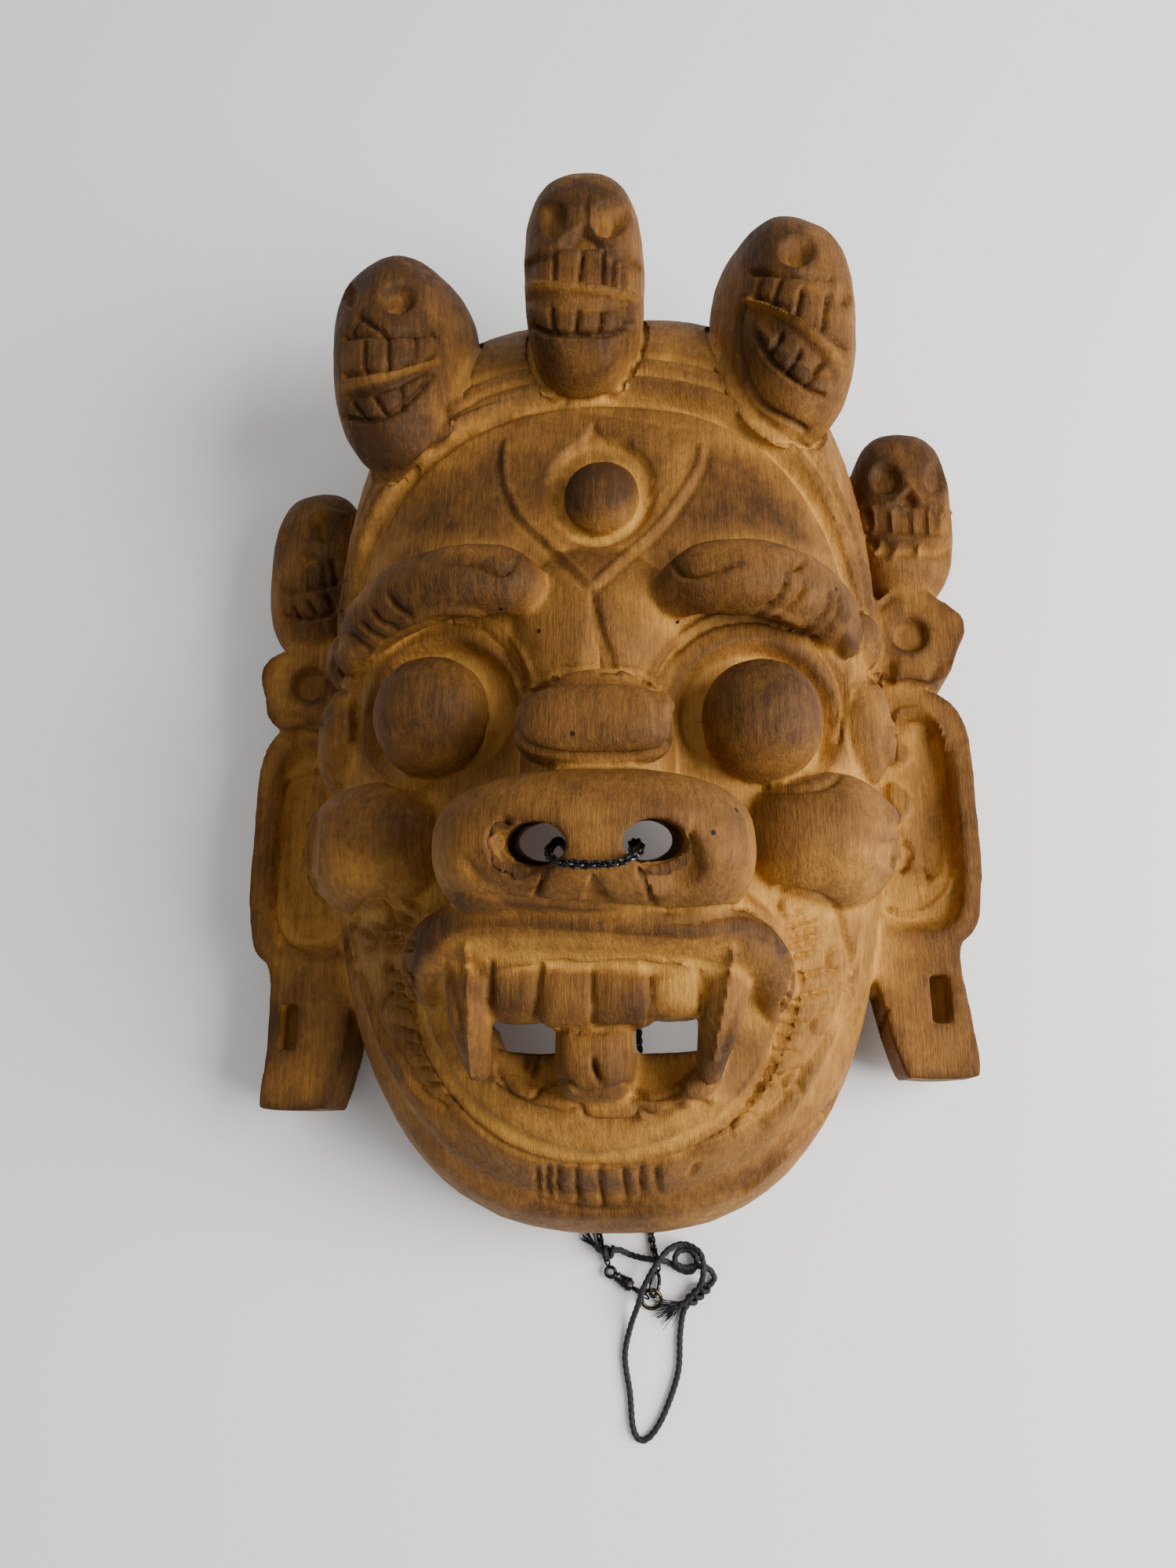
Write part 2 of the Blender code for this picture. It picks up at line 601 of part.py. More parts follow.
def build_mask(material):
    """Fuse the forms, cut the hollow and the openings, carve the front and thin the mesh."""
    back = [add_object("cutter", bm) for bm in back_cutters()]
    mouth = [add_object("cutter", bm) for bm in mouth_cutters()]
    slots = [add_object("cutter", bm) for bm in slot_cutters()]
    head = block(HEAD_WIDTH, HEAD_HEIGHT, HEAD_DEPTH, -5.0)
    pierced = [add_object("form", bm) for bm in [head] + mouth_forms() + head_forms()]
    upper = [add_object("form", bm) for bm in nose_forms() + eye_forms()]
    teeth = [add_object("form", bm) for bm in tooth_forms() + crown_forms()]
    ears = [add_object("form", bm) for bm in ear_forms()]
    for item in pierced:
        cut_away(item, back + mouth)
    for item in upper:
        cut_away(item, back)
    for item in teeth:
        cut_away(item, back[:1])
    for item in ears:
        cut_away(item, back[:1] + slots)
    mask = fuse("mask", pierced + upper + teeth + ears, GRAIN_STEP)
    for tool in back + mouth + slots:
        bpy.data.objects.remove(tool, do_unlink=True)
    chisel = Chisel(mask.data)
    carve_face(chisel)
    carve_ears(chisel)
    for frame in crown_skull_frames():
        carve_skull(chisel, frame, SKULL_WIDTH / 2, SKULL_HEIGHT / 2, SKULL_SOCKET)
    for frame in ear_skull_frames():
        carve_skull(chisel, frame, EAR_SKULL[0], EAR_SKULL[1], 0.8 * SKULL_SOCKET)
    chisel.finish()
    mask.data.materials.clear()
    mask.data.materials.append(material)
    thin = mask.modifiers.new("Thin", "DECIMATE")
    mask.data.calc_loop_triangles()
    thin.ratio = MASK_TRIANGLES / len(mask.data.loop_triangles)
    trim_rim(mask)
    return mask


def trim_rim(mask):
    """Cut the rim flat and open the arch under the chin."""
    bm = bmesh.new()
    depth = 40.0
    size = (3 * HEAD_WIDTH, 2 * HEAD_HEIGHT, depth)
    low = Matrix.Translation((0, 0, -depth / 2)) @ Matrix.Diagonal((*size, 1))
    bmesh.ops.create_cube(bm, size=1.0, matrix=low)
    table = add_object("rim_cutter", bm)
    start = on_face(2, -190, 0)
    finish = on_face(2, -120, 0)
    arch = bar([start, finish], (ARCH_WIDTH,) * 2, (2 * ARCH_HEIGHT,) * 2, sides=20)
    arch = add_object("arch_cutter", arch)
    for tool in (table, arch):
        tool.hide_render = True
        tool.display_type = "WIRE"
        cut = mask.modifiers.new("Flat", "BOOLEAN")
        cut.operation = "DIFFERENCE"
        cut.object = tool


# The chain's route, chosen by hand: up one nostril, over the septum and down the other
CHAIN_ROUTE = (
    (-2.4, -169.4, 1.6), (-4.4, -164.0, 1.3), (-5.0, -155.0, 1.3), (-4.8, -132.0, 1.3),
    (-5.2, -107.0, 1.3), (-6.4, -85.0, 1.3), (-7.6, -66.0, 1.5), (-9.0, -57.0, 7.0),
    (-9.6, -53.6, 22.0), (-9.6, -52.4, 44.0), (-9.4, -53.4, 66.0), (-8.4, -58.0, 88.0),
    (-7.0, -64.6, 110.0), (-6.6, -68.4, 120.6), (-4.4, -71.6, 125.2), (0.6, -72.6, 125.9),
    (5.6, -72.8, 126.2), (11.0, -72.2, 126.0), (14.6, -69.0, 121.8), (14.4, -65.0, 111.0),
    (12.4, -59.6, 92.0), (10.0, -54.6, 68.0),
    (9.4, -52.8, 44.0), (9.2, -53.6, 22.0), (8.6, -57.6, 7.0), (8.0, -67.0, 1.5),
    (7.6, -84.0, 1.3), (8.0, -100.0, 1.3), (8.8, -122.0, 1.3), (10.0, -145.0, 1.3),
    (11.0, -161.0, 1.3), (12.2, -167.0, 1.4), (13.1, -170.8, 2.1),
)

# The wire: a tuft and a knot, a hump over the chain, two small turns, the long loop and a twist
WIRE_ROUTE = (
    (-8.0, -162.6, 1.2), (-6.8, -165.2, 2.6), (-4.4, -166.6, 4.3), (-1.6, -166.6, 4.4),
    (1.2, -166.0, 3.4), (4.4, -167.4, 1.6), (8.0, -168.2, 3.2), (11.0, -168.4, 5.1),
    (13.6, -168.6, 5.2), (16.6, -169.6, 3.0), (19.6, -171.6, 1.1), (23.0, -172.2, 1.1),
    (25.0, -169.4, 1.2), (23.0, -166.2, 1.6), (19.4, -166.4, 3.0), (18.4, -169.2, 4.2),
    (21.0, -170.8, 3.8), (25.0, -170.4, 3.6), (28.4, -171.2, 2.6), (30.0, -174.2, 1.4),
    (27.0, -177.2, 1.1), (23.6, -179.6, 1.1), (20.6, -183.4, 1.1), (19.4, -190.0, 1.1),
    (18.6, -200.0, 1.1), (14.6, -210.6, 1.1), (10.6, -216.8, 1.1), (7.2, -218.4, 1.1),
    (5.0, -215.0, 1.1), (4.2, -206.0, 1.1), (2.8, -196.0, 1.1), (4.6, -187.6, 2.0),
    (7.0, -181.4, 5.2), (9.2, -175.6, 6.6), (12.6, -170.0, 7.6), (16.6, -165.6, 5.2),
    (21.4, -164.2, 3.8), (26.0, -166.6, 5.2), (26.8, -171.4, 5.8), (25.6, -176.0, 3.8),
    (21.8, -180.8, 3.6), (17.4, -184.4, 1.8), (12.6, -187.2, 1.1),
)


def spread_route(points, spacing):
    """Points at an even spacing along the smooth curve through a route."""
    route = smooth_route(points, 12)
    lengths = [0.0]
    for a, b in zip(route, route[1:]):
        lengths.append(lengths[-1] + (b - a).length)
    count = round(lengths[-1] / spacing)
    wanted = [lengths[-1] * i / count for i in range(count + 1)]
    spread = [np.interp(wanted, lengths, [p[axis] for p in route]) for axis in range(3)]
    return [Vector(p) for p in zip(*spread)]


def add_cord(name, points, diameter, spacing, material):
    """A limp line as a round tube along its route."""
    curve = bpy.data.curves.new(name, "CURVE")
    curve.dimensions = "3D"
    curve.bevel_depth = diameter / 2 * MM
    curve.bevel_resolution = 2
    curve.use_fill_caps = True
    route = spread_route(points, spacing)
    spline = curve.splines.new("POLY")
    spline.points.add(len(route) - 1)
    for spot, place in zip(spline.points, route):
        spot.co = (*(place * MM), 1.0)
    curve.materials.append(material)
    item = bpy.data.objects.new(name, curve)
    bpy.context.scene.collection.objects.link(item)
    return item


def loop_form(frame, half_long, half_wide, wire, steps=16):
    """A closed oval of wire, long along its frame's X."""
    route = []
    for step in range(steps):
        turn = math.tau * step / steps
        route.append(frame @ Vector((half_long * math.cos(turn), half_wide * math.sin(turn), 0)))
    normal = frame.to_3x3() @ Vector((0, 0, 1))
    return bar(route, (wire, wire), (wire, wire), sides=6, up=normal, closed=True)


CLASP_EYE = Vector((-1.2, -172.6, 1.9))
CLASP_END = Vector((7.0, -177.8, 2.05))
LINK_MIDDLE = Vector((11.0, -180.0, 1.65))
OVAL_MIDDLE = Vector((12.1, -175.9, 2.5))
LINK_RADIUS = 2.9


def build_clasp(dark, bright):
    """The swivel clasp with its eye and hook, the round link and the oval link."""
    along = (CLASP_END - CLASP_EYE).normalized()
    yaw = math.degrees(math.atan2(along.y, along.x))
    eye = add_object("form", loop_form(pose(CLASP_EYE - along * 0.2, (0, 0, yaw)), 1.5, 1.4, LINK_WIRE))
    barrel = [CLASP_EYE + along * share for share in (1.1, 3.4, 6.0, 7.6)]
    barrel = bar(barrel, (2.0, 3.0, 3.7, 3.0), (2.0, 2.8, 3.2, 2.8), sides=10)
    body = add_object("lobster_clasp", barrel, dark)
    upright = pose(CLASP_END + along * 0.8, (90, 0, yaw))
    hook = add_object("form", loop_form(upright, 2.7, 1.55, LINK_WIRE))
    for tool in (eye, hook):
        weld = body.modifiers.new("Weld", "BOOLEAN")
        weld.operation = "UNION"
        weld.object = tool
    mesh = evaluated_mesh(body)
    body.modifiers.clear()
    body.data = mesh
    for tool in (eye, hook):
        bpy.data.objects.remove(tool, do_unlink=True)
    tilt = pose(LINK_MIDDLE, (18, 0, 0))
    add_object("round_link", loop_form(tilt, LINK_RADIUS, LINK_RADIUS, LINK_WIRE), bright)
    lean = pose(OVAL_MIDDLE, (0, 0, 80)) @ pose((0, 0, 0), (80, 0, 0))
    add_object("oval_link", loop_form(lean, 3.4, 1.8, LINK_WIRE), dark)


def main():
    """Build the mask, its chain and clasp, and the wire loop."""
    clear_scene()
    wood = make_material("carved_wood", (0.28, 0.14, 0.045), 0.6)
    black = make_material("blackened_metal", (0.02, 0.02, 0.022), 0.35, 1.0)
    bronze = make_material("worn_brass", (0.16, 0.12, 0.06), 0.45, 1.0)
    grey = make_material("grey_strand", (0.07, 0.075, 0.075), 0.8)
    build_mask(wood)
    add_cord("nose_chain", CHAIN_ROUTE, CHAIN_DIAMETER, CHAIN_SPACING, black)
    add_cord("hanging_wire", WIRE_ROUTE, WIRE_DIAMETER, WIRE_SPACING, grey)
    build_clasp(black, bronze)


main()
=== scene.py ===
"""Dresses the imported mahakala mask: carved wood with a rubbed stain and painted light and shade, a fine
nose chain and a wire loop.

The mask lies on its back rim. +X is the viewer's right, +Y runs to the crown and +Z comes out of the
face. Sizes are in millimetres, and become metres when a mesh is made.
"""

import logging
import math
from dataclasses import dataclass, field
from enum import Enum
from typing import Optional, Sequence, Union

import bmesh
import bpy
import numpy as np
from mathutils import Euler, Matrix, Quaternion, Vector, noise

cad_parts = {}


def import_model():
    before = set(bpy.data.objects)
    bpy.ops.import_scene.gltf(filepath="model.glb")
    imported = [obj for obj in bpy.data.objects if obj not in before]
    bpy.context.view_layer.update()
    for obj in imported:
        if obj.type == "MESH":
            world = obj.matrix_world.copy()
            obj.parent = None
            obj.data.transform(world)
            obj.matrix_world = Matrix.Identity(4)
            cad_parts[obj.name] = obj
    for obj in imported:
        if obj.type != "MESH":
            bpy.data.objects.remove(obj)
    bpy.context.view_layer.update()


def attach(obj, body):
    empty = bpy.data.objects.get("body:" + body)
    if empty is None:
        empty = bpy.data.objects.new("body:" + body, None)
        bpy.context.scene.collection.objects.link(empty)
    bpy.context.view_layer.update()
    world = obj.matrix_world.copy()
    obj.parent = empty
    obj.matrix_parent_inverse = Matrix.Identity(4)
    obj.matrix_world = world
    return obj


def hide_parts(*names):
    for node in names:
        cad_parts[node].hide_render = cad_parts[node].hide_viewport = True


log = logging.getLogger("mahakala_mask")

MM = 0.001
Point = Sequence[float]
Route = Sequence[Sequence[float]]
Share = Union[float, np.ndarray]


# Small tools of the bench


def ramp(value: np.ndarray, start: float, finish: float) -> np.ndarray:
    """Give shares that go smoothly from 0 before start to 1 after finish."""
    share = np.clip((value - start) / (finish - start), 0.0, 1.0)
    return share * share * (3.0 - 2.0 * share)


def pose(centre: Point, turn: Point = (0, 0, 0)) -> Matrix:
    """Make a frame at a point, turned by degrees about X, Y and Z."""
    turned = Euler([math.radians(a) for a in turn]).to_matrix().to_4x4()
    return Matrix.Translation(Vector(centre)) @ turned


def smooth_route(points: Route, steps: int = 6, closed: bool = False) -> list[Vector]:
    """Read points from a smooth curve through the given ones.

    Args:
        points: The stops of the route.
        steps: How many pieces each stretch between two stops gets.
        closed: Whether the last stop leads back to the first.

    Returns:
        The points of the curve.
    """
    stops = [Vector(p) for p in points]
    count = len(stops)
    route = []
    for i in range(count if closed else count - 1):
        if closed:
            a, b, c, d = (stops[(i + k) % count] for k in (-1, 0, 1, 2))
        else:
            b, c = stops[i], stops[i + 1]
            a = stops[i - 1] if i else b + (b - c)
            d = stops[i + 2] if i + 2 < count else c + (c - b)
        for step in range(steps):
            t = step / steps
            route.append(0.5 * (2 * b + (c - a) * t + (2 * a - 5 * b + 4 * c - d) * t * t
                                + (3 * b - a - 3 * c + d) * t ** 3))
    if not closed:
        route.append(stops[-1])
    return route


def even_route(points: Route, spacing: float) -> list[Vector]:
    """Read evenly spaced points from the smooth curve through a route.

    Args:
        points: The stops of the route.
        spacing: The wanted distance between two points.

    Returns:
        Points from the first stop to the last.
    """
    route = smooth_route(points, 12)
    lengths = np.concatenate(([0.0], np.cumsum([(b - a).length for a, b in zip(route, route[1:])])))
    count = max(2, round(lengths[-1] / spacing))
    wanted = np.linspace(0.0, lengths[-1], count + 1)
    spread = [np.interp(wanted, lengths, [p[axis] for p in route]) for axis in range(3)]
    return [Vector(p) for p in zip(*spread)]


def carried_frames(route: Sequence[Vector]) -> list[Matrix]:
    """Carry a frame along a route without twisting it.

    Args:
        route: The points of the route.

    Returns:
        One turning matrix for each point, with its Z along the route.
    """
    frames = []
    side = None
    for i in range(len(route)):
        ahead = (route[min(i + 1, len(route) - 1)] - route[max(i - 1, 0)]).normalized()
        if side is None:
            side = ahead.cross(Vector((0, 0, 1)))
            if side.length < 0.1:
                side = ahead.cross(Vector((0, 1, 0)))
        side = (side - ahead * side.dot(ahead)).normalized()
        frames.append(Matrix((side, ahead.cross(side), ahead)).transposed())
    return frames


def add_object(name: str, data: bpy.types.ID) -> bpy.types.Object:
    """Add an object to the scene.

    Args:
        name: The object's name.
        data: Its mesh, light or camera.

    Returns:
        The object.
    """
    item = bpy.data.objects.new(name, data)
    bpy.context.scene.collection.objects.link(item)
    return item


def finished_object(name: str, bm: bmesh.types.BMesh,
                    material: Optional[bpy.types.Material] = None) -> bpy.types.Object:
    """Make a smooth object of a bmesh in millimetres.

    Args:
        name: The object's name.
        bm: The bmesh, which is freed.
        material: The finish of all its faces.

    Returns:
        The object, at the origin.
    """
    bmesh.ops.recalc_face_normals(bm, faces=bm.faces)
    bmesh.ops.scale(bm, vec=(MM, MM, MM), verts=bm.verts)
    mesh = bpy.data.meshes.new(name)
    bm.to_mesh(mesh)
    bm.free()
    item = add_object(name, mesh)
    if material:
        mesh.materials.append(material)
    mesh.shade_smooth()
    return item


def apply_modifiers(item: bpy.types.Object) -> None:
    """Bake an object's modifiers into its mesh.

    Args:
        item: The object whose modifiers are used up.
    """
    graph = bpy.context.evaluated_depsgraph_get()
    mesh = bpy.data.meshes.new_from_object(item.evaluated_get(graph))
    item.modifiers.clear()
    item.data = mesh


def remove_objects(items: Sequence[bpy.types.Object]) -> None:
    """Remove objects that were only tools."""
    for item in items:
        bpy.data.objects.remove(item, do_unlink=True)


def cut_away(item: bpy.types.Object, tools: Sequence[bpy.types.Object]) -> None:
    """Cut closed tools out of a closed object.

    Args:
        item: The object that is cut.
        tools: The closed cutters, which stay.
    """
    for tool in tools:
        cut = item.modifiers.new("Cut", "BOOLEAN")
        cut.operation = "DIFFERENCE"
        cut.solver = "MANIFOLD"
        cut.object = tool
    apply_modifiers(item)


def join_part(bm: bmesh.types.BMesh, part: bmesh.types.BMesh) -> None:
    """Add a part to a bmesh, and free the part.

    Args:
        bm: The bmesh that grows.
        part: The bmesh that is used up.
    """
    mesh = bpy.data.meshes.new("part")
    part.to_mesh(mesh)
    part.free()
    bm.from_mesh(mesh)
    bpy.data.meshes.remove(mesh)


def grow_ring(bm: bmesh.types.BMesh, edges: Sequence[bmesh.types.BMEdge]) -> tuple[list, list]:
    """Extrude a ring of edges in place, and give the new ring's points and edges.

    Args:
        bm: The bmesh that grows.
        edges: The ring's edges.

    Returns:
        The new ring's points and its edges.
    """
    grown = bmesh.ops.extrude_edge_only(bm, edges=edges)["geom"]
    ring = [g for g in grown if isinstance(g, bmesh.types.BMVert)]
    found = set(ring)
    return ring, [g for g in grown if isinstance(g, bmesh.types.BMEdge) and found.issuperset(g.verts)]


def lump(frame: Matrix, radii: Point, power: float = 2.2, taper: float = 0.0,
         detail: int = 5) -> bmesh.types.BMesh:
    """Make a rounded lump.

    Args:
        frame: Where it sits.
        radii: Its half sizes in the frame.
        power: 2 for an ellipsoid, more for a squarer lump.
        taper: How much narrower it gets towards its +Y.
        detail: Subdivisions of the sphere that it starts as.

    Returns:
        The lump as a closed bmesh.
    """
    bm = bmesh.new()
    bmesh.ops.create_icosphere(bm, subdivisions=detail, radius=1.0)
    for vert in bm.verts:
        d = vert.co.normalized()
        d *= sum(abs(c) ** power for c in d) ** (-1.0 / power)
        vert.co = (d.x * radii[0] * (1.0 - taper * d.y), d.y * radii[1], d.z * radii[2])
    bmesh.ops.transform(bm, matrix=frame, verts=bm.verts)
    return bm


def bar(route: Sequence[Vector], widths: Sequence[float], heights: Sequence[float], sides: int = 32,
        up: Point = (0, 0, 1), closed: bool = False) -> bmesh.types.BMesh:
    """Make a rounded bar along a route.

    Args:
        route: The line through its middle.
        widths: Its widths, spread evenly along it.
        heights: Its heights, spread evenly along it.
        sides: Points round its section.
        up: The direction of its height.
        closed: Whether it is a ring.

    Returns:
        The bar as a closed bmesh.
    """
    count = len(route)
    frames = []
    for i, point in enumerate(route):
        if closed:
            ahead = route[(i + 1) % count] - route[i - 1]
        else:
            ahead = route[min(i + 1, count - 1)] - route[max(i - 1, 0)]
        ahead.normalize()
        side = ahead.cross(Vector(up)).normalized()
        lift = side.cross(ahead)
        share = i / (count - 1)
        wide = float(np.interp(share * (len(widths) - 1), range(len(widths)), widths)) / 2
        tall = float(np.interp(share * (len(heights) - 1), range(len(heights)), heights)) / 2
        frame = Matrix((side * wide, lift * tall, ahead)).transposed().to_4x4()
        frame.translation = point
        frames.append(frame)
    bm = bmesh.new()
    ring = bmesh.ops.create_circle(bm, segments=sides, radius=1.0)["verts"]
    bmesh.ops.transform(bm, matrix=frames[0], verts=ring)
    first = edges = list(bm.edges)
    for before, after in zip(frames, frames[1:]):
        ring, edges = grow_ring(bm, edges)
        bmesh.ops.transform(bm, matrix=after @ before.inverted(), verts=ring)
    if closed:
        bmesh.ops.bridge_loops(bm, edges=edges + first)
    else:
        bmesh.ops.edgeloop_fill(bm, edges=edges)
        bmesh.ops.edgeloop_fill(bm, edges=first)
    return bm


def board(outline: Route, low: float, high: float) -> bmesh.types.BMesh:
    """Make a flat board with a smooth outline between two heights.

    Args:
        outline: Its corners, seen from the front.
        low: The height of its back.
        high: The height of its front.

    Returns:
        The bmesh, in millimetres.
    """
    bm = bmesh.new()
    corners = [bm.verts.new((p[0], p[1], low)) for p in smooth_route(outline, 12, closed=True)]
    face = bm.faces.new(corners)
    grown = bmesh.ops.extrude_face_region(bm, geom=[face])["geom"]
    tops = [g for g in grown if isinstance(g, bmesh.types.BMVert)]
    bmesh.ops.translate(bm, vec=(0, 0, high - low), verts=tops)
    return bm


# The camera's place, which also says where a mark of the photograph falls on the wood


@dataclass(frozen=True)
class PhotoView:
    """A phone's wide camera, close above the chin, that looks up the face."""

    place: tuple[float, float, float] = (27.4, -130.0, 387.0)
    pan: float = 5.1
    tilt: float = 16.3
    lens: float = 27.03
    sensor: float = 36.0
    picture: tuple[int, int] = (1500, 2000)

    def axes(self) -> tuple[Vector, Vector, Vector]:
        """Give the camera's right, up and forward directions.

        Returns:
            Three unit vectors.
        """
        pan, tilt = math.radians(self.pan), math.radians(self.tilt)
        forward = Vector((-math.sin(pan), math.sin(tilt), -math.cos(tilt))).normalized()
        right = forward.cross(Vector((0, 1, 0))).normalized()
        return right, right.cross(forward), forward

    def project(self, points: np.ndarray) -> tuple[np.ndarray, np.ndarray, np.ndarray]:
        """Find where points fall in the picture.

        Args:
            points: An array of points in millimetres.

        Returns:
            Their pixels across and down, and their distances along the view.
        """
        right, up, forward = (np.array(a) for a in self.axes())
        away = points - np.array(self.place)
        depth = away @ forward
        focal = self.lens / self.sensor * max(self.picture)
        across = self.picture[0] / 2 + focal * (away @ right) / depth
        down = self.picture[1] / 2 - focal * (away @ up) / depth
        return across, down, depth

    def add_camera(self) -> bpy.types.Object:
        """Add the camera to the scene and make it the scene's own.

        Returns:
            The camera.
        """
        data = bpy.data.cameras.new("photo_camera")
        data.lens = self.lens
        data.sensor_width = self.sensor
        data.sensor_fit = "AUTO"
        data.clip_start = 0.01
        right, up, forward = self.axes()
        frame = Matrix((right, up, -forward)).transposed().to_4x4()
        frame.translation = Vector(self.place) * MM
        camera = add_object("photo_camera", data)
        camera.matrix_world = frame
        bpy.context.scene.camera = camera
        return camera


@dataclass(frozen=True)
class HeadPlan:
    """Sizes of the plain head that all the carving is laid out on."""

    width: float = 172.0
    height: float = 296.0
    depth: float = 81.0
    middle_y: float = -12.5
    shift: float = 3.0
    wall: float = 13.0
    chin_fall: float = 0.10
    chin_power: float = 2.6
    crown_power: float = 3.0
    dome_power: float = 3.4

    def on_face(self, x: float, y: float, z: float) -> Vector:
        """Give a point of the carving's layout on the head."""
        return Vector((x, y + self.shift, z))

    def power(self, along: np.ndarray) -> np.ndarray:
        """Say how square the outline is, from the chin (-1) to the crown (1)."""
        share = np.clip(along * 3.0 + 0.5, 0.0, 1.0)
        return self.chin_power + (self.crown_power - self.chin_power) * share

    def share(self, x: np.ndarray, y: np.ndarray) -> np.ndarray:
        """Give 0 in the middle of the head's outline and 1 on it.

        Args:
            x: Places across.
            y: Places along.

        Returns:
            One share for each place.
        """
        across = 2 * np.abs(x) / self.width
        along = 2 * (y - self.middle_y) / self.height
        power = self.power(along)
        return (across ** power + np.abs(along) ** power) ** (1.0 / power)

    def rise(self, x: np.ndarray, y: np.ndarray) -> np.ndarray:
        """Give the height of the plain head's surface over the rim's plane.

        Args:
            x: Places across.
            y: Places along.

        Returns:
            One height for each place.
        """
        along = 2 * (y - self.middle_y) / self.height
        dome = np.clip(1.0 - self.share(x, y) ** self.dome_power, 0.0, 1.0) ** (1.0 / self.dome_power)
        return self.depth * dome * (1.0 - self.chin_fall * np.clip(-along, 0.0, 1.0))

    def block(self, inset: float, floor: float, detail: int = 6) -> bmesh.types.BMesh:
        """Make the plain head, or the hollow behind it.

        Args:
            inset: How far inside the head's surface it stays.
            floor: The height at which it is cut off flat.
            detail: Subdivisions of the sphere that it starts as.

        Returns:
            A closed bmesh.
        """
        bm = bmesh.new()
        bmesh.ops.create_icosphere(bm, subdivisions=detail, radius=1.0)
        for vert in bm.verts:
            d = vert.co.normalized()
            power = float(self.power(d.y))
            flat = (abs(d.x) ** power + abs(d.y) ** power) ** (self.dome_power / power)
            d *= (flat + abs(d.z) ** self.dome_power) ** (-1.0 / self.dome_power)
            fall = 1.0 - self.chin_fall * max(0.0, -d.y)
            vert.co = (d.x * (self.width / 2 - inset), self.middle_y + d.y * (self.height / 2 - inset),
                       d.z * (self.depth - inset) * fall)
        geometry = list(bm.verts) + list(bm.edges) + list(bm.faces)
        cut = bmesh.ops.bisect_plane(bm, geom=geometry, plane_co=(0, 0, floor), plane_no=(0, 0, 1),
                                     clear_inner=True)["geom_cut"]
        edges = [g for g in cut if isinstance(g, bmesh.types.BMEdge)]
        bmesh.ops.edgeloop_fill(bm, edges=edges)
        return bm


HEAD = HeadPlan()
VIEW = PhotoView()


# Carving: pushing the fused skin in and out


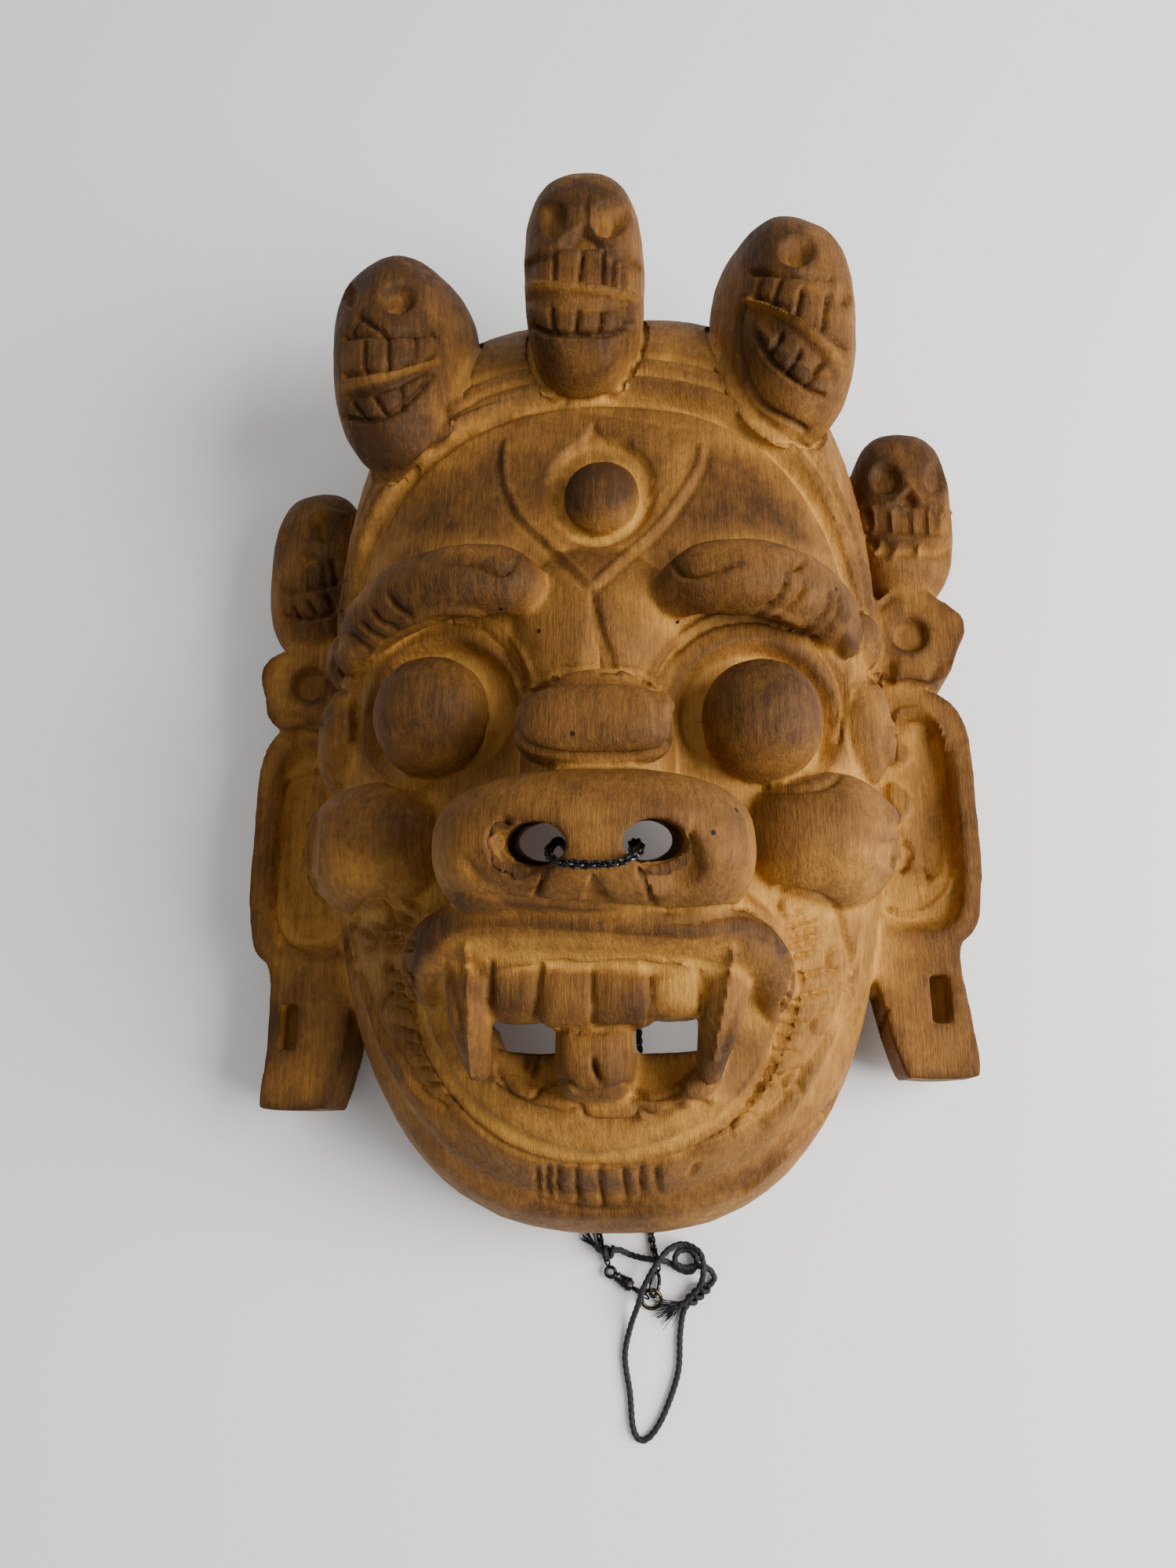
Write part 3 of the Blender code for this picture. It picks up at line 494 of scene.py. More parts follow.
class Chisel:
    """Moves the points of a fused mesh along their outward directions, and stains them, with painted shade
    and grime in the cuts and painted light on the welts.
    """

    bite: float = 1.45
    scoop: float = 1.2
    # Darkening of grooves and sunken patches: painted shade with some grime; welts are lightened with painted
    # light.
    mark_grime_and_shade: tuple[float, float] = (-0.6, 1.5)
    patch_grime_and_shade: float = 0.3
    tail_share: float = 0.35
    tail_start: float = 0.35
    tail_end: float = 0.2
    swell_back: float = 1.02
    grazing: tuple[float, float] = (0.02, 0.2)
    cell: int = 5
    cover: float = 5.0

    def __init__(self, mesh: bpy.types.Mesh, view: PhotoView) -> None:
        """Take up a mesh.

        Args:
            mesh: The fused wood, in metres.
            view: The camera whose picture the marks are read from.
        """
        self.mesh = mesh
        self.view = view
        count = len(mesh.vertices)
        points = np.empty(count * 3)
        mesh.vertices.foreach_get("co", points)
        self.points = points.reshape(-1, 3) / MM
        ends = np.empty(len(mesh.edges) * 2, dtype=np.int64)
        mesh.edges.foreach_get("vertices", ends)
        self.ends = ends.reshape(-1, 2)
        self.degree = np.bincount(self.ends.ravel(), minlength=count).astype(float)
        # The stain also carries painted light and shade.
        self.stain_and_painted_light = np.zeros(count)
        # How dark the cuts are painted: shade in the hollows, with some grime.
        self.grime_and_shade = 0.0
        self.refresh()

    def refresh(self) -> None:
        """Read the outward directions again, and where each point falls in the picture."""
        self.mesh.vertices.foreach_set("co", (self.points * MM).ravel())
        self.mesh.update()
        outward = np.empty(len(self.points) * 3)
        self.mesh.vertices.foreach_get("normal", outward)
        self.outward = outward.reshape(-1, 3)
        self.px, self.py, depth = self.view.project(self.points)
        sight = self.points - np.array(self.view.place)
        sight /= np.linalg.norm(sight, axis=1)[:, None]
        facing_view = -np.einsum("ij,ij->i", sight, self.outward)
        wide = max(self.view.picture) // self.cell + 1
        place = np.clip(self.px // self.cell, 0, wide - 1).astype(int) * wide
        place += np.clip(self.py // self.cell, 0, wide - 1).astype(int)
        nearest = np.full(wide * wide, np.inf)
        np.minimum.at(nearest, place, depth)
        self.seen = ramp(facing_view, *self.grazing) * (depth < nearest[place] + self.cover)
        self.look(Matrix.Identity(4))

    def look(self, frame: Matrix) -> None:
        """Measure the points' x, y and z in a frame from now on.

        Args:
            frame: The frame to look from.
        """
        turn = np.array(frame.to_3x3())
        place = (self.points - np.array(frame.translation)) @ turn
        self.x, self.y, self.z = place.T
        self.facing = (self.outward @ turn)[:, 2]

    def raise_by(self, amount: Share, where: Share = 1.0) -> None:
        """Move the points outwards by an amount, in millimetres."""
        self.points += self.outward * (amount * where)[:, None]

    @staticmethod
    def line_distance(x: np.ndarray, y: np.ndarray, route: Route, closed: bool = False) -> np.ndarray:
        """Measure how far points are from a line in their plane.

        Args:
            x: Their places across.
            y: Their places along.
            route: The line's stops.
            closed: Whether the line is a ring.

        Returns:
            The distance of each point.
        """
        nearest = np.full(len(x), np.inf)
        stops = list(route) + ([route[0]] if closed else [])
        for a, b in zip(stops, stops[1:]):
            along = np.array((b[0] - a[0], b[1] - a[1]))
            dx, dy = x - a[0], y - a[1]
            share = np.clip((dx * along[0] + dy * along[1]) / max(float(along @ along), 1e-9), 0.0, 1.0)
            nearest = np.minimum(nearest, np.hypot(dx - share * along[0], dy - share * along[1]))
        return nearest

    def groove(self, route: Route, width: float, depth: float, where: np.ndarray) -> None:
        """Cut a rounded groove along a line of the frame that is looked at from."""
        share = self.line_distance(self.x, self.y, route) / (width / 2)
        self.raise_by(-depth * np.clip(1.0 - share * share, 0.0, 1.0), where)

    @staticmethod
    def picture_line(route: Route, steps: int, closed: bool) -> list[tuple[float, float]]:
        """Join a line's stops in the picture by a smooth curve."""
        return [tuple(p)[:2] for p in smooth_route([(*p, 0) for p in route], steps, closed)]

    def near(self, route: Route, reach: float) -> np.ndarray:
        """List the seen points that lie near a line of the picture.

        Args:
            route: The line's stops.
            reach: How many pixels away still counts.

        Returns:
            The points' numbers.
        """
        xs, ys = [p[0] for p in route], [p[1] for p in route]
        return np.nonzero((self.px > min(xs) - reach) & (self.px < max(xs) + reach)
                          & (self.py > min(ys) - reach) & (self.py < max(ys) + reach)
                          & (self.seen > 0))[0]

    def push(self, chosen: np.ndarray, amount: np.ndarray) -> None:
        """Move chosen points outwards."""
        self.points[chosen] += self.outward[chosen] * (amount * self.seen[chosen])[:, None]

    def mark(self, route: Route, width: float, depth: float, tail: bool = False,
             smooth: bool = True) -> None:
        """Cut a tapering stroke, or raise a welt, along a line of the picture; grooves get painted shade and
        grime, welts get painted light.

        Args:
            route: The line's stops, in pixels of the photograph.
            width: The stroke's whole width in pixels.
            depth: How deep it is in millimetres, less than 0 for a welt.
            tail: Whether the stroke thins out towards its ends.
            smooth: Whether the stops are joined by a smooth curve.
        """
        line = self.picture_line(route, 5, False) if smooth and len(route) > 2 else list(route)
        chosen = self.near(line, width)
        if not len(chosen):
            return
        x, y = self.px[chosen], self.py[chosen]
        share = self.line_distance(x, y, line) / (width / 2)
        amount = -depth * np.clip(1.0 - share * share, 0.0, 1.0)
        # Painted shade and grime in a groove, painted light on a welt.
        self.stain_and_painted_light[chosen] += self.grime_and_shade * np.clip(-amount, *self.mark_grime_and_shade)
        if tail:
            first, last = line[0], line[-1]
            reach = self.tail_share * math.dist(first, last) + 1.0
            amount *= np.clip(np.hypot(x - first[0], y - first[1]) / reach + self.tail_start, 0, 1)
            amount *= np.clip(np.hypot(x - last[0], y - last[1]) / reach + self.tail_end, 0, 1)
        self.push(chosen, self.bite * amount)

    def inside(self, outline: Route, edge: float, smooth: bool = True) -> tuple[np.ndarray, np.ndarray]:
        """Find the seen points inside an outline of the picture.

        Args:
            outline: Its corners, in pixels.
            edge: How many pixels its soft border is wide.
            smooth: Whether its corners are joined by a smooth curve.

        Returns:
            The chosen points, and their shares from 0 at the outline to 1 within.
        """
        line = self.picture_line(outline, 4, True) if smooth else list(outline)
        chosen = self.near(line, edge)
        x, y = self.px[chosen], self.py[chosen]
        within = np.zeros(len(chosen), dtype=bool)
        for (ax, ay), (bx, by) in zip(line, line[1:] + line[:1]):
            crosses = (ay > y) != (by > y)
            if ay != by:
                within ^= crosses & (x < (bx - ax) * (y - ay) / (by - ay) + ax)
        away = self.line_distance(x, y, line, True) * np.where(within, 1.0, -1.0)
        return chosen, ramp(away, -edge / 2, edge / 2)

    def patch(self, outline: Route, depth: float, edge: float = 8.0, smooth: bool = True) -> None:
        """Sink, or raise with a depth below 0, all that an outline of the picture holds; what sinks gets
        painted shade and grime.

        Args:
            outline: Its corners, in pixels.
            depth: How deep it sinks, in millimetres.
            edge: How many pixels its soft border is wide.
            smooth: Whether its corners are joined by a smooth curve.
        """
        chosen, share = self.inside(outline, edge, smooth)
        self.push(chosen, -self.scoop * depth * share)
        # Painted shade and grime in the sunken patch.
        self.stain_and_painted_light[chosen] += self.patch_grime_and_shade * self.grime_and_shade * np.clip(depth, 0.0, 3.0) * share

    def tint(self, outline: Route, amount: float, edge: float = 30.0) -> None:
        """Darken, or lighten with an amount below 0, what an outline of the picture holds; used for the
        stain's pattern and for painted light and shade.
        """
        chosen, share = self.inside(outline, edge)
        self.stain_and_painted_light[chosen] += amount * share

    def averaged(self, values: np.ndarray, rounds: int, hold: float = 0.5) -> np.ndarray:
        """Spread values over the mesh by averaging neighbours.

        Args:
            values: One number or one row for each point.
            rounds: How often they are averaged.
            hold: How much of its own value a point keeps.

        Returns:
            The spread values.
        """
        flat = values.reshape(len(self.points), -1).copy()
        a, b = self.ends.T
        for _ in range(rounds):
            for column in range(flat.shape[1]):
                own = flat[:, column]
                total = (np.bincount(a, own[b], len(own)) + np.bincount(b, own[a], len(own))) / self.degree
                flat[:, column] = hold * own + (1.0 - hold) * total
        return flat.reshape(values.shape)

    def soften(self, rounds: int, where: Share = 1.0) -> None:
        """Smooth the skin, and keep its volume about the same.

        Args:
            rounds: How often it is smoothed.
            where: A share for each point.
        """
        for _ in range(rounds):
            inner = self.averaged(self.points, 1, 0.5)
            outer = inner - self.swell_back * (self.averaged(inner, 1, 0.5) - inner)
            self.points += (outer - self.points) * np.reshape(where, (-1, 1))

    def facet(self, amount: float, size: float) -> None:
        """Leave the gouge's shallow facets, of a depth and a width in millimetres."""
        scoop = np.array([noise.voronoi(Vector(point) / size)[0][0] for point in self.points])
        self.raise_by(amount * (np.clip(scoop, 0.0, 1.0) ** 2 - 0.3))

    def height_above(self, rounds: int) -> np.ndarray:
        """Say how far each point stands above its smoothed surroundings, in millimetres."""
        level = self.averaged(self.points, rounds, 0.0)
        return np.einsum("ij,ij->i", self.points - level, self.outward)

    def finish(self) -> None:
        """Give the moved points and the stain, with its painted light and shade, back to the mesh."""
        self.mesh.vertices.foreach_set("co", (self.points * MM).ravel())
        layer = self.mesh.attributes.new("stain_and_painted_light", "FLOAT", "POINT")
        layer.data.foreach_set("value", np.clip(self.stain_and_painted_light, 0.0, 1.0).astype(np.float32))
        self.mesh.update()


# Finishes


def node(tree: bpy.types.NodeTree, kind: str, **values: object) -> bpy.types.Node:
    """Add a shader node.

    Args:
        tree: The tree that it goes into.
        kind: Its type's name.
        values: Its settings, and its inputs' values by name with underscores.

    Returns:
        The node.
    """
    made = tree.nodes.new(kind)
    for name, value in values.items():
        if hasattr(made, name):
            setattr(made, name, value)
        else:
            made.inputs[name.replace("_", " ")].default_value = value
    return made


class Finish:
    """The start of each finish: a Principled material and the way to its nodes."""

    slot: str = ""

    def __init__(self) -> None:
        """Make the material."""
        self.material = bpy.data.materials.new(self.slot)
        self.material.use_nodes = True
        self.tree = self.material.node_tree
        self.shader = self.tree.nodes["Principled BSDF"]
        coordinates = node(self.tree, "ShaderNodeTexCoord")
        self.place = coordinates.outputs["Object"]
        self.build()

    def build(self) -> None:
        """Add the finish's own nodes."""
        raise NotImplementedError

    def link(self, start: bpy.types.NodeSocket, finish: bpy.types.NodeSocket) -> None:
        """Join two sockets."""
        self.tree.links.new(start, finish)

    def noise(self, scale: Point, detail: float = 4.0, roughness: float = 0.55,
              distortion: float = 0.0) -> bpy.types.NodeSocket:
        """Add noise with its own scale along each axis, and give its output.

        Args:
            scale: Its scale along X, Y and Z.
            detail: How many octaves it has.
            roughness: How strong the fine ones are.
            distortion: How much it is bent.

        Returns:
            The node's output.
        """
        stretch = node(self.tree, "ShaderNodeMapping")
        stretch.inputs["Scale"].default_value = scale
        self.link(self.place, stretch.inputs["Vector"])
        made = node(self.tree, "ShaderNodeTexNoise", Scale=1.0, Detail=detail, Roughness=roughness,
                    Distortion=distortion)
        self.link(stretch.outputs[0], made.inputs["Vector"])
        return made.outputs["Fac"]

    def maths(self, operation: str, first: object, second: object = 0.0,
              clamp: bool = False) -> bpy.types.NodeSocket:
        """Add a sum of two sockets or numbers, and give its output.

        Args:
            operation: The sum's name.
            first: A socket or a number.
            second: A socket or a number.
            clamp: Whether the result stays from 0 to 1.

        Returns:
            The node's output.
        """
        made = node(self.tree, "ShaderNodeMath", operation=operation, use_clamp=clamp)
        for socket, value in zip(made.inputs, (first, second)):
            if isinstance(value, (int, float)):
                socket.default_value = value
            else:
                self.link(value, socket)
        return made.outputs[0]

    def spread(self, value: object, low: float, high: float, to_low: float = 0.0,
               to_high: float = 1.0) -> bpy.types.NodeSocket:
        """Stretch one range to another, clamped, and give the output.

        Args:
            value: The socket that is stretched.
            low: The old range's start.
            high: The old range's end.
            to_low: The new range's start.
            to_high: The new range's end.

        Returns:
            The node's output.
        """
        made = node(self.tree, "ShaderNodeMapRange")
        self.link(value, made.inputs["Value"])
        for name, number in (("From Min", low), ("From Max", high), ("To Min", to_low), ("To Max", to_high)):
            made.inputs[name].default_value = number
        return made.outputs[0]

    def colours(self, value: object, stops: Sequence[tuple[float, Point]]) -> bpy.types.NodeSocket:
        """Add a colour ramp with the given stops, and give its output.

        Args:
            value: The socket that picks the colour.
            stops: Places from 0 to 1, each with its colour.

        Returns:
            The node's output.
        """
        made = node(self.tree, "ShaderNodeValToRGB")
        elements = made.color_ramp.elements
        while len(elements) < len(stops):
            elements.new(0.5)
        for element, (position, colour) in zip(elements, stops):
            element.position = position
            element.color = (*colour, 1.0)
        self.link(value, made.inputs["Fac"])
        return made.outputs["Color"]

    def blend(self, mode: str, share: object, first: object, second: object) -> bpy.types.NodeSocket:
        """Mix two colours, and give the output.

        Args:
            mode: The way of mixing.
            share: A socket or a number.
            first: A socket or a colour.
            second: A socket or a colour.

        Returns:
            The node's output.
        """
        made = node(self.tree, "ShaderNodeMix", data_type="RGBA", blend_type=mode)
        inputs = made.inputs["Factor"], made.inputs[6], made.inputs[7]
        for socket, value in zip(inputs, (share, first, second)):
            if isinstance(value, (int, float)):
                socket.default_value = value
            elif isinstance(value, tuple):
                socket.default_value = (*value, 1.0)
            else:
                self.link(value, socket)
        return made.outputs[2]

    def bump(self, height: object, distance: float, strength: float) -> None:
        """Give the shader a relief.

        Args:
            height: The relief's socket.
            distance: Its height in metres.
            strength: Its strength from 0 to 1.
        """
        made = node(self.tree, "ShaderNodeBump", Strength=strength, Distance=distance)
        self.link(height, made.inputs["Height"])
        self.link(made.outputs["Normal"], self.shader.inputs["Normal"])


class CarvedWood(Finish):
    """Pale close-grained wood, ochre in the hollows, with brown stain rubbed on the high places."""

    slot = "carved_wood"

    def build(self) -> None:
        """Mix the stain, which carries painted light and shade, with clouds, streaks along the grain and pale
        rubs.
        """
        # The attribute holds the stain and the painted light and shade.
        stain_and_painted_light = node(self.tree, "ShaderNodeAttribute", attribute_name="stain_and_painted_light").outputs["Fac"]
        clouds = self.noise((38, 30, 38), 3.0, 0.6, 0.4)
        streaks = self.noise((900, 55, 420), 4.0, 0.62)
        fine = self.noise((2100, 330, 2100), 3.0, 0.6)
        mottle = self.noise((240, 190, 240), 5.0, 0.7, 0.6)
        amount = self.maths("ADD", stain_and_painted_light, self.spread(clouds, 0.3, 0.7, -0.12, 0.12))
        amount = self.maths("ADD", amount, self.spread(streaks, 0.3, 0.7, -0.10, 0.10))
        amount = self.maths("ADD", amount, self.spread(mottle, 0.3, 0.7, -0.10, 0.10))
        amount = self.maths("ADD", amount, self.spread(fine, 0.3, 0.7, -0.06, 0.06), clamp=True)
        body = self.colours(amount, (
            (0.0, (0.43, 0.220, 0.045)),
            (0.25, (0.31, 0.146, 0.028)),
            (0.5, (0.190, 0.083, 0.016)),
            (0.75, (0.108, 0.045, 0.009)),
            (1.0, (0.045, 0.019, 0.005)),
        ))
        pores = self.spread(self.noise((3000, 500, 3000), 2.0, 0.5), 0.60, 0.70)
        body = self.blend("MULTIPLY", self.maths("MULTIPLY", pores, 0.45), body, (0.42, 0.30, 0.20))
        self.link(body, self.shader.inputs["Base Color"])
        rough = self.spread(streaks, 0.25, 0.75, 0.56, 0.72)
        self.link(rough, self.shader.inputs["Roughness"])
        self.shader.inputs["Specular IOR Level"].default_value = 0.14
        relief = self.maths("ADD", self.maths("MULTIPLY", streaks, 0.6), self.maths("MULTIPLY", fine, 0.5))
        relief = self.maths("ADD", relief, self.maths("MULTIPLY", mottle, 0.8))
        self.bump(relief, 0.0008, 0.55)

    def paint_hole_shade(self, places: Sequence[Vector], radius: float = 0.0007) -> None:
        """Paint a small round spot of shade at each worm hole, since the hole isn't cut.

        Args:
            places: The holes' middles, in metres.
            radius: Half the width of a hole.
        """
        nearest = 1.0
        for place in places:
            away = node(self.tree, "ShaderNodeVectorMath", operation="DISTANCE")
            away.inputs[1].default_value = place
            self.link(self.place, away.inputs[0])
            nearest = self.maths("MINIMUM", away.outputs["Value"], nearest)
        body = self.shader.inputs["Base Color"].links[0].from_socket
        share = self.spread(nearest, 0.7 * radius, 1.2 * radius, 1.0, 0.0)
        # Near-black painted shade stands in for the hole.
        self.link(self.blend("MIX", share, body, (0.012, 0.005, 0.002)), self.shader.inputs["Base Color"])


class BlackenedMetal(Finish):
    """Blackened chain metal with bright worn edges."""

    slot = "blackened_metal"

    def build(self) -> None:
        """Mix black with worn specks."""
        worn = self.spread(self.noise((900, 900, 900), 3.0, 0.6), 0.55, 0.68)
        colour = self.colours(worn, ((0.0, (0.018, 0.018, 0.020)), (1.0, (0.16, 0.155, 0.15))))
        self.link(colour, self.shader.inputs["Base Color"])
        self.link(self.spread(worn, 0.0, 1.0, 0.34, 0.24), self.shader.inputs["Roughness"])
        self.shader.inputs["Metallic"].default_value = 0.9


class WornBrass(Finish):
    """Tarnished brass of the round link."""

    slot = "worn_brass"

    def build(self) -> None:
        """Mix grey tarnish with brass."""
        worn = self.spread(self.noise((700, 700, 700), 3.0, 0.6), 0.4, 0.65)
        colour = self.colours(worn, ((0.0, (0.022, 0.018, 0.011)), (1.0, (0.12, 0.085, 0.04))))
        self.link(colour, self.shader.inputs["Base Color"])
        self.shader.inputs["Roughness"].default_value = 0.46
        self.shader.inputs["Metallic"].default_value = 1.0


class GreyStrand(Finish):
    """Dull dark grey stranded cord."""

    slot = "grey_strand"

    def build(self) -> None:
        """Mix two greys along fine fibres."""
        fibres = self.noise((2600, 2600, 2600), 3.0, 0.6)
        colour = self.colours(self.spread(fibres, 0.35, 0.65),
                              ((0.0, (0.004, 0.004, 0.005)), (1.0, (0.026, 0.028, 0.029))))
        self.link(colour, self.shader.inputs["Base Color"])
        self.shader.inputs["Roughness"].default_value = 0.7
        self.shader.inputs["Specular IOR Level"].default_value = 0.25
        self.bump(fibres, 0.0002, 0.5)


class Slot(Enum):
    """The record's material slots, each with its finish."""

    WOOD = CarvedWood
    BLACK = BlackenedMetal
    BRASS = WornBrass
    STRAND = GreyStrand


def dress(item: bpy.types.Object, node_name: str) -> bpy.types.Object:
    """Let a piece ride on the root and stand for its CAD node.

    Args:
        item: The visible piece.
        node_name: The CAD node that it stands for.

    Returns:
        The same piece.
    """
    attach(item, "root")
    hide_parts(node_name)
    log.info("%s: %d faces", item.name, len(item.data.polygons))
    return item


# The wood


@dataclass
class CrownSkulls:
    """The three skulls that stand on the crown."""

    width: float = 37.0
    height: float = 78.0
    depth: float = 50.0
    turn: float = 30.0

    def frames(self) -> list[Matrix]:
        """Give each skull's frame, the middle one first.

        Returns:
            Three frames.
        """
        stands = (
            ((-2.5, 118.5, 74), 0, 0),
            ((-60, 99, 66), -self.turn, 5),
            ((58.5, 104, 66), self.turn, -2),
        )
        return [pose(HEAD.on_face(*spot), (-3, turn, lean)) for spot, turn, lean in stands]

    def forms(self) -> list[bmesh.types.BMesh]:
        """Make the skulls' plain shapes."""
        radii = (self.width / 2, self.height / 2, self.depth / 2)
        return [lump(frame, radii, 2.7, -0.08) for frame in self.frames()]


@dataclass
class EarBoards:
    """The side boards, each with a small skull, a rosette and a long ear above a slotted tab."""

    thickness: float = 22.0
    back: float = 9.0
    reach: float = 27.5
    recess: float = 5.0
    recess_half: tuple[float, float] = (13.5, 33.0)
    rosette: float = 16.5
    rosette_eye: tuple[float, float] = (4.6, 5.8)
    rosette_deep: float = 2.8
    petals: int = 5
    petal_swell: float = 0.07
    slot: tuple[float, float, float] = (5.5, 14.0, 9.0)
    skull: tuple[float, float, float] = (16.0, 30.5, 14.0)
    rows: tuple[tuple[float, ...], ...] = ((-1, 48, 6.5, -46, -103.5), (1, 60, 16.5, -42, -97))
    middle: float = HEAD.width / 2 + 12
    tabs: tuple[tuple[float, float], ...] = ((4.5, 0.14), (0.0, 0.0))

    @property
    def top(self) -> float:
        """Height of the boards' front."""
        return self.back + self.thickness

    def frames(self) -> list[Matrix]:
        """Give each side skull's frame, the left one first.

        Returns:
            Two frames.
        """
        found = []
        for side, skull_y, _, _, _ in self.rows:
            spot = HEAD.on_face(0, skull_y, 0) + Vector((side * self.middle, 0, self.top - 4))
            found.append(pose(spot, (0, side * 8, 0)))
        return found

    def hearts(self) -> list[Vector]:
        """Give the middle of each rosette."""
        return [HEAD.on_face(0, row[2], 0) + Vector((row[0] * (self.middle - 1), 0, 0)) for row in self.rows]

    def forms(self) -> list[bmesh.types.BMesh]:
        """Make the boards' plain shapes.

        Returns:
            The bmeshes, in millimetres.
        """
        made = [lump(frame, self.skull, 2.8) for frame in self.frames()]
        inner = HEAD.width / 2 - 9
        half = (self.reach + 9) / 2
        for (side, skull_y, _, ear_y, _), heart in zip(self.rows, self.hearts()):
            spine = [(inner - 3, skull_y + 14), (inner + 12, skull_y + 8), (inner + 15, skull_y - 20),
                     (inner + 14, ear_y + 30), (inner - 3, ear_y + 24)]
            corners = [HEAD.on_face(0, y, 0) + Vector((side * x, 0, 0)) for x, y in spine]
            made.append(board(corners, self.back, self.top - 3))
            rim = []
            for step in range(4 * self.petals):
                turn = math.tau * step / (4 * self.petals)
                reach = self.rosette * (1.0 + self.petal_swell * math.cos(self.petals * turn - 1.2))
                rim.append(heart + Vector((reach * math.cos(turn), reach * math.sin(turn), 0)))
            made.append(board(rim, self.back, self.top + 4))
            middle = HEAD.on_face(0, ear_y, 0) + Vector((side * (inner + half), 0, 0))
            ear = [(-1, 36), (-0.4, 42), (0.5, 40), (0.95, 28), (1, 0), (0.96, -22), (0.6, -38), (-1, -42)]
            tab = [(-0.9, -30), (0.55, -30), (0.52, -44), (0.62, -60), (0.68, -75), (0.5, -77.5),
                   (-0.3, -77.5), (-0.5, -75), (-0.78, -55)]
            drop, lean = self.tabs[0 if side < 0 else 1]
            tab = [(x - lean * ramp(-y, 40, 60), y - drop * ramp(-y, 40, 60)) for x, y in tab]
            for outline in (ear, tab):
                corners = [middle + Vector((side * half * x, y, 0)) for x, y in outline]
                made.append(board(corners, self.back, self.top))
        return made

    def slot_cutters(self) -> list[bmesh.types.BMesh]:
        """Make the cutter of each tab's blind slot.

        Returns:
            The bmeshes, in millimetres.
        """
        cuts = []
        for side, _, _, _, slot_y in self.rows:
            centre = HEAD.on_face(0, slot_y, 0) + Vector((side * self.middle, 0, self.top))
            bm = bmesh.new()
            size = Matrix.Diagonal((self.slot[0], self.slot[1], 2 * self.slot[2], 1))
            bmesh.ops.create_cube(bm, size=1.0, matrix=Matrix.Translation(centre) @ size)
            cuts.append(bm)
        return cuts


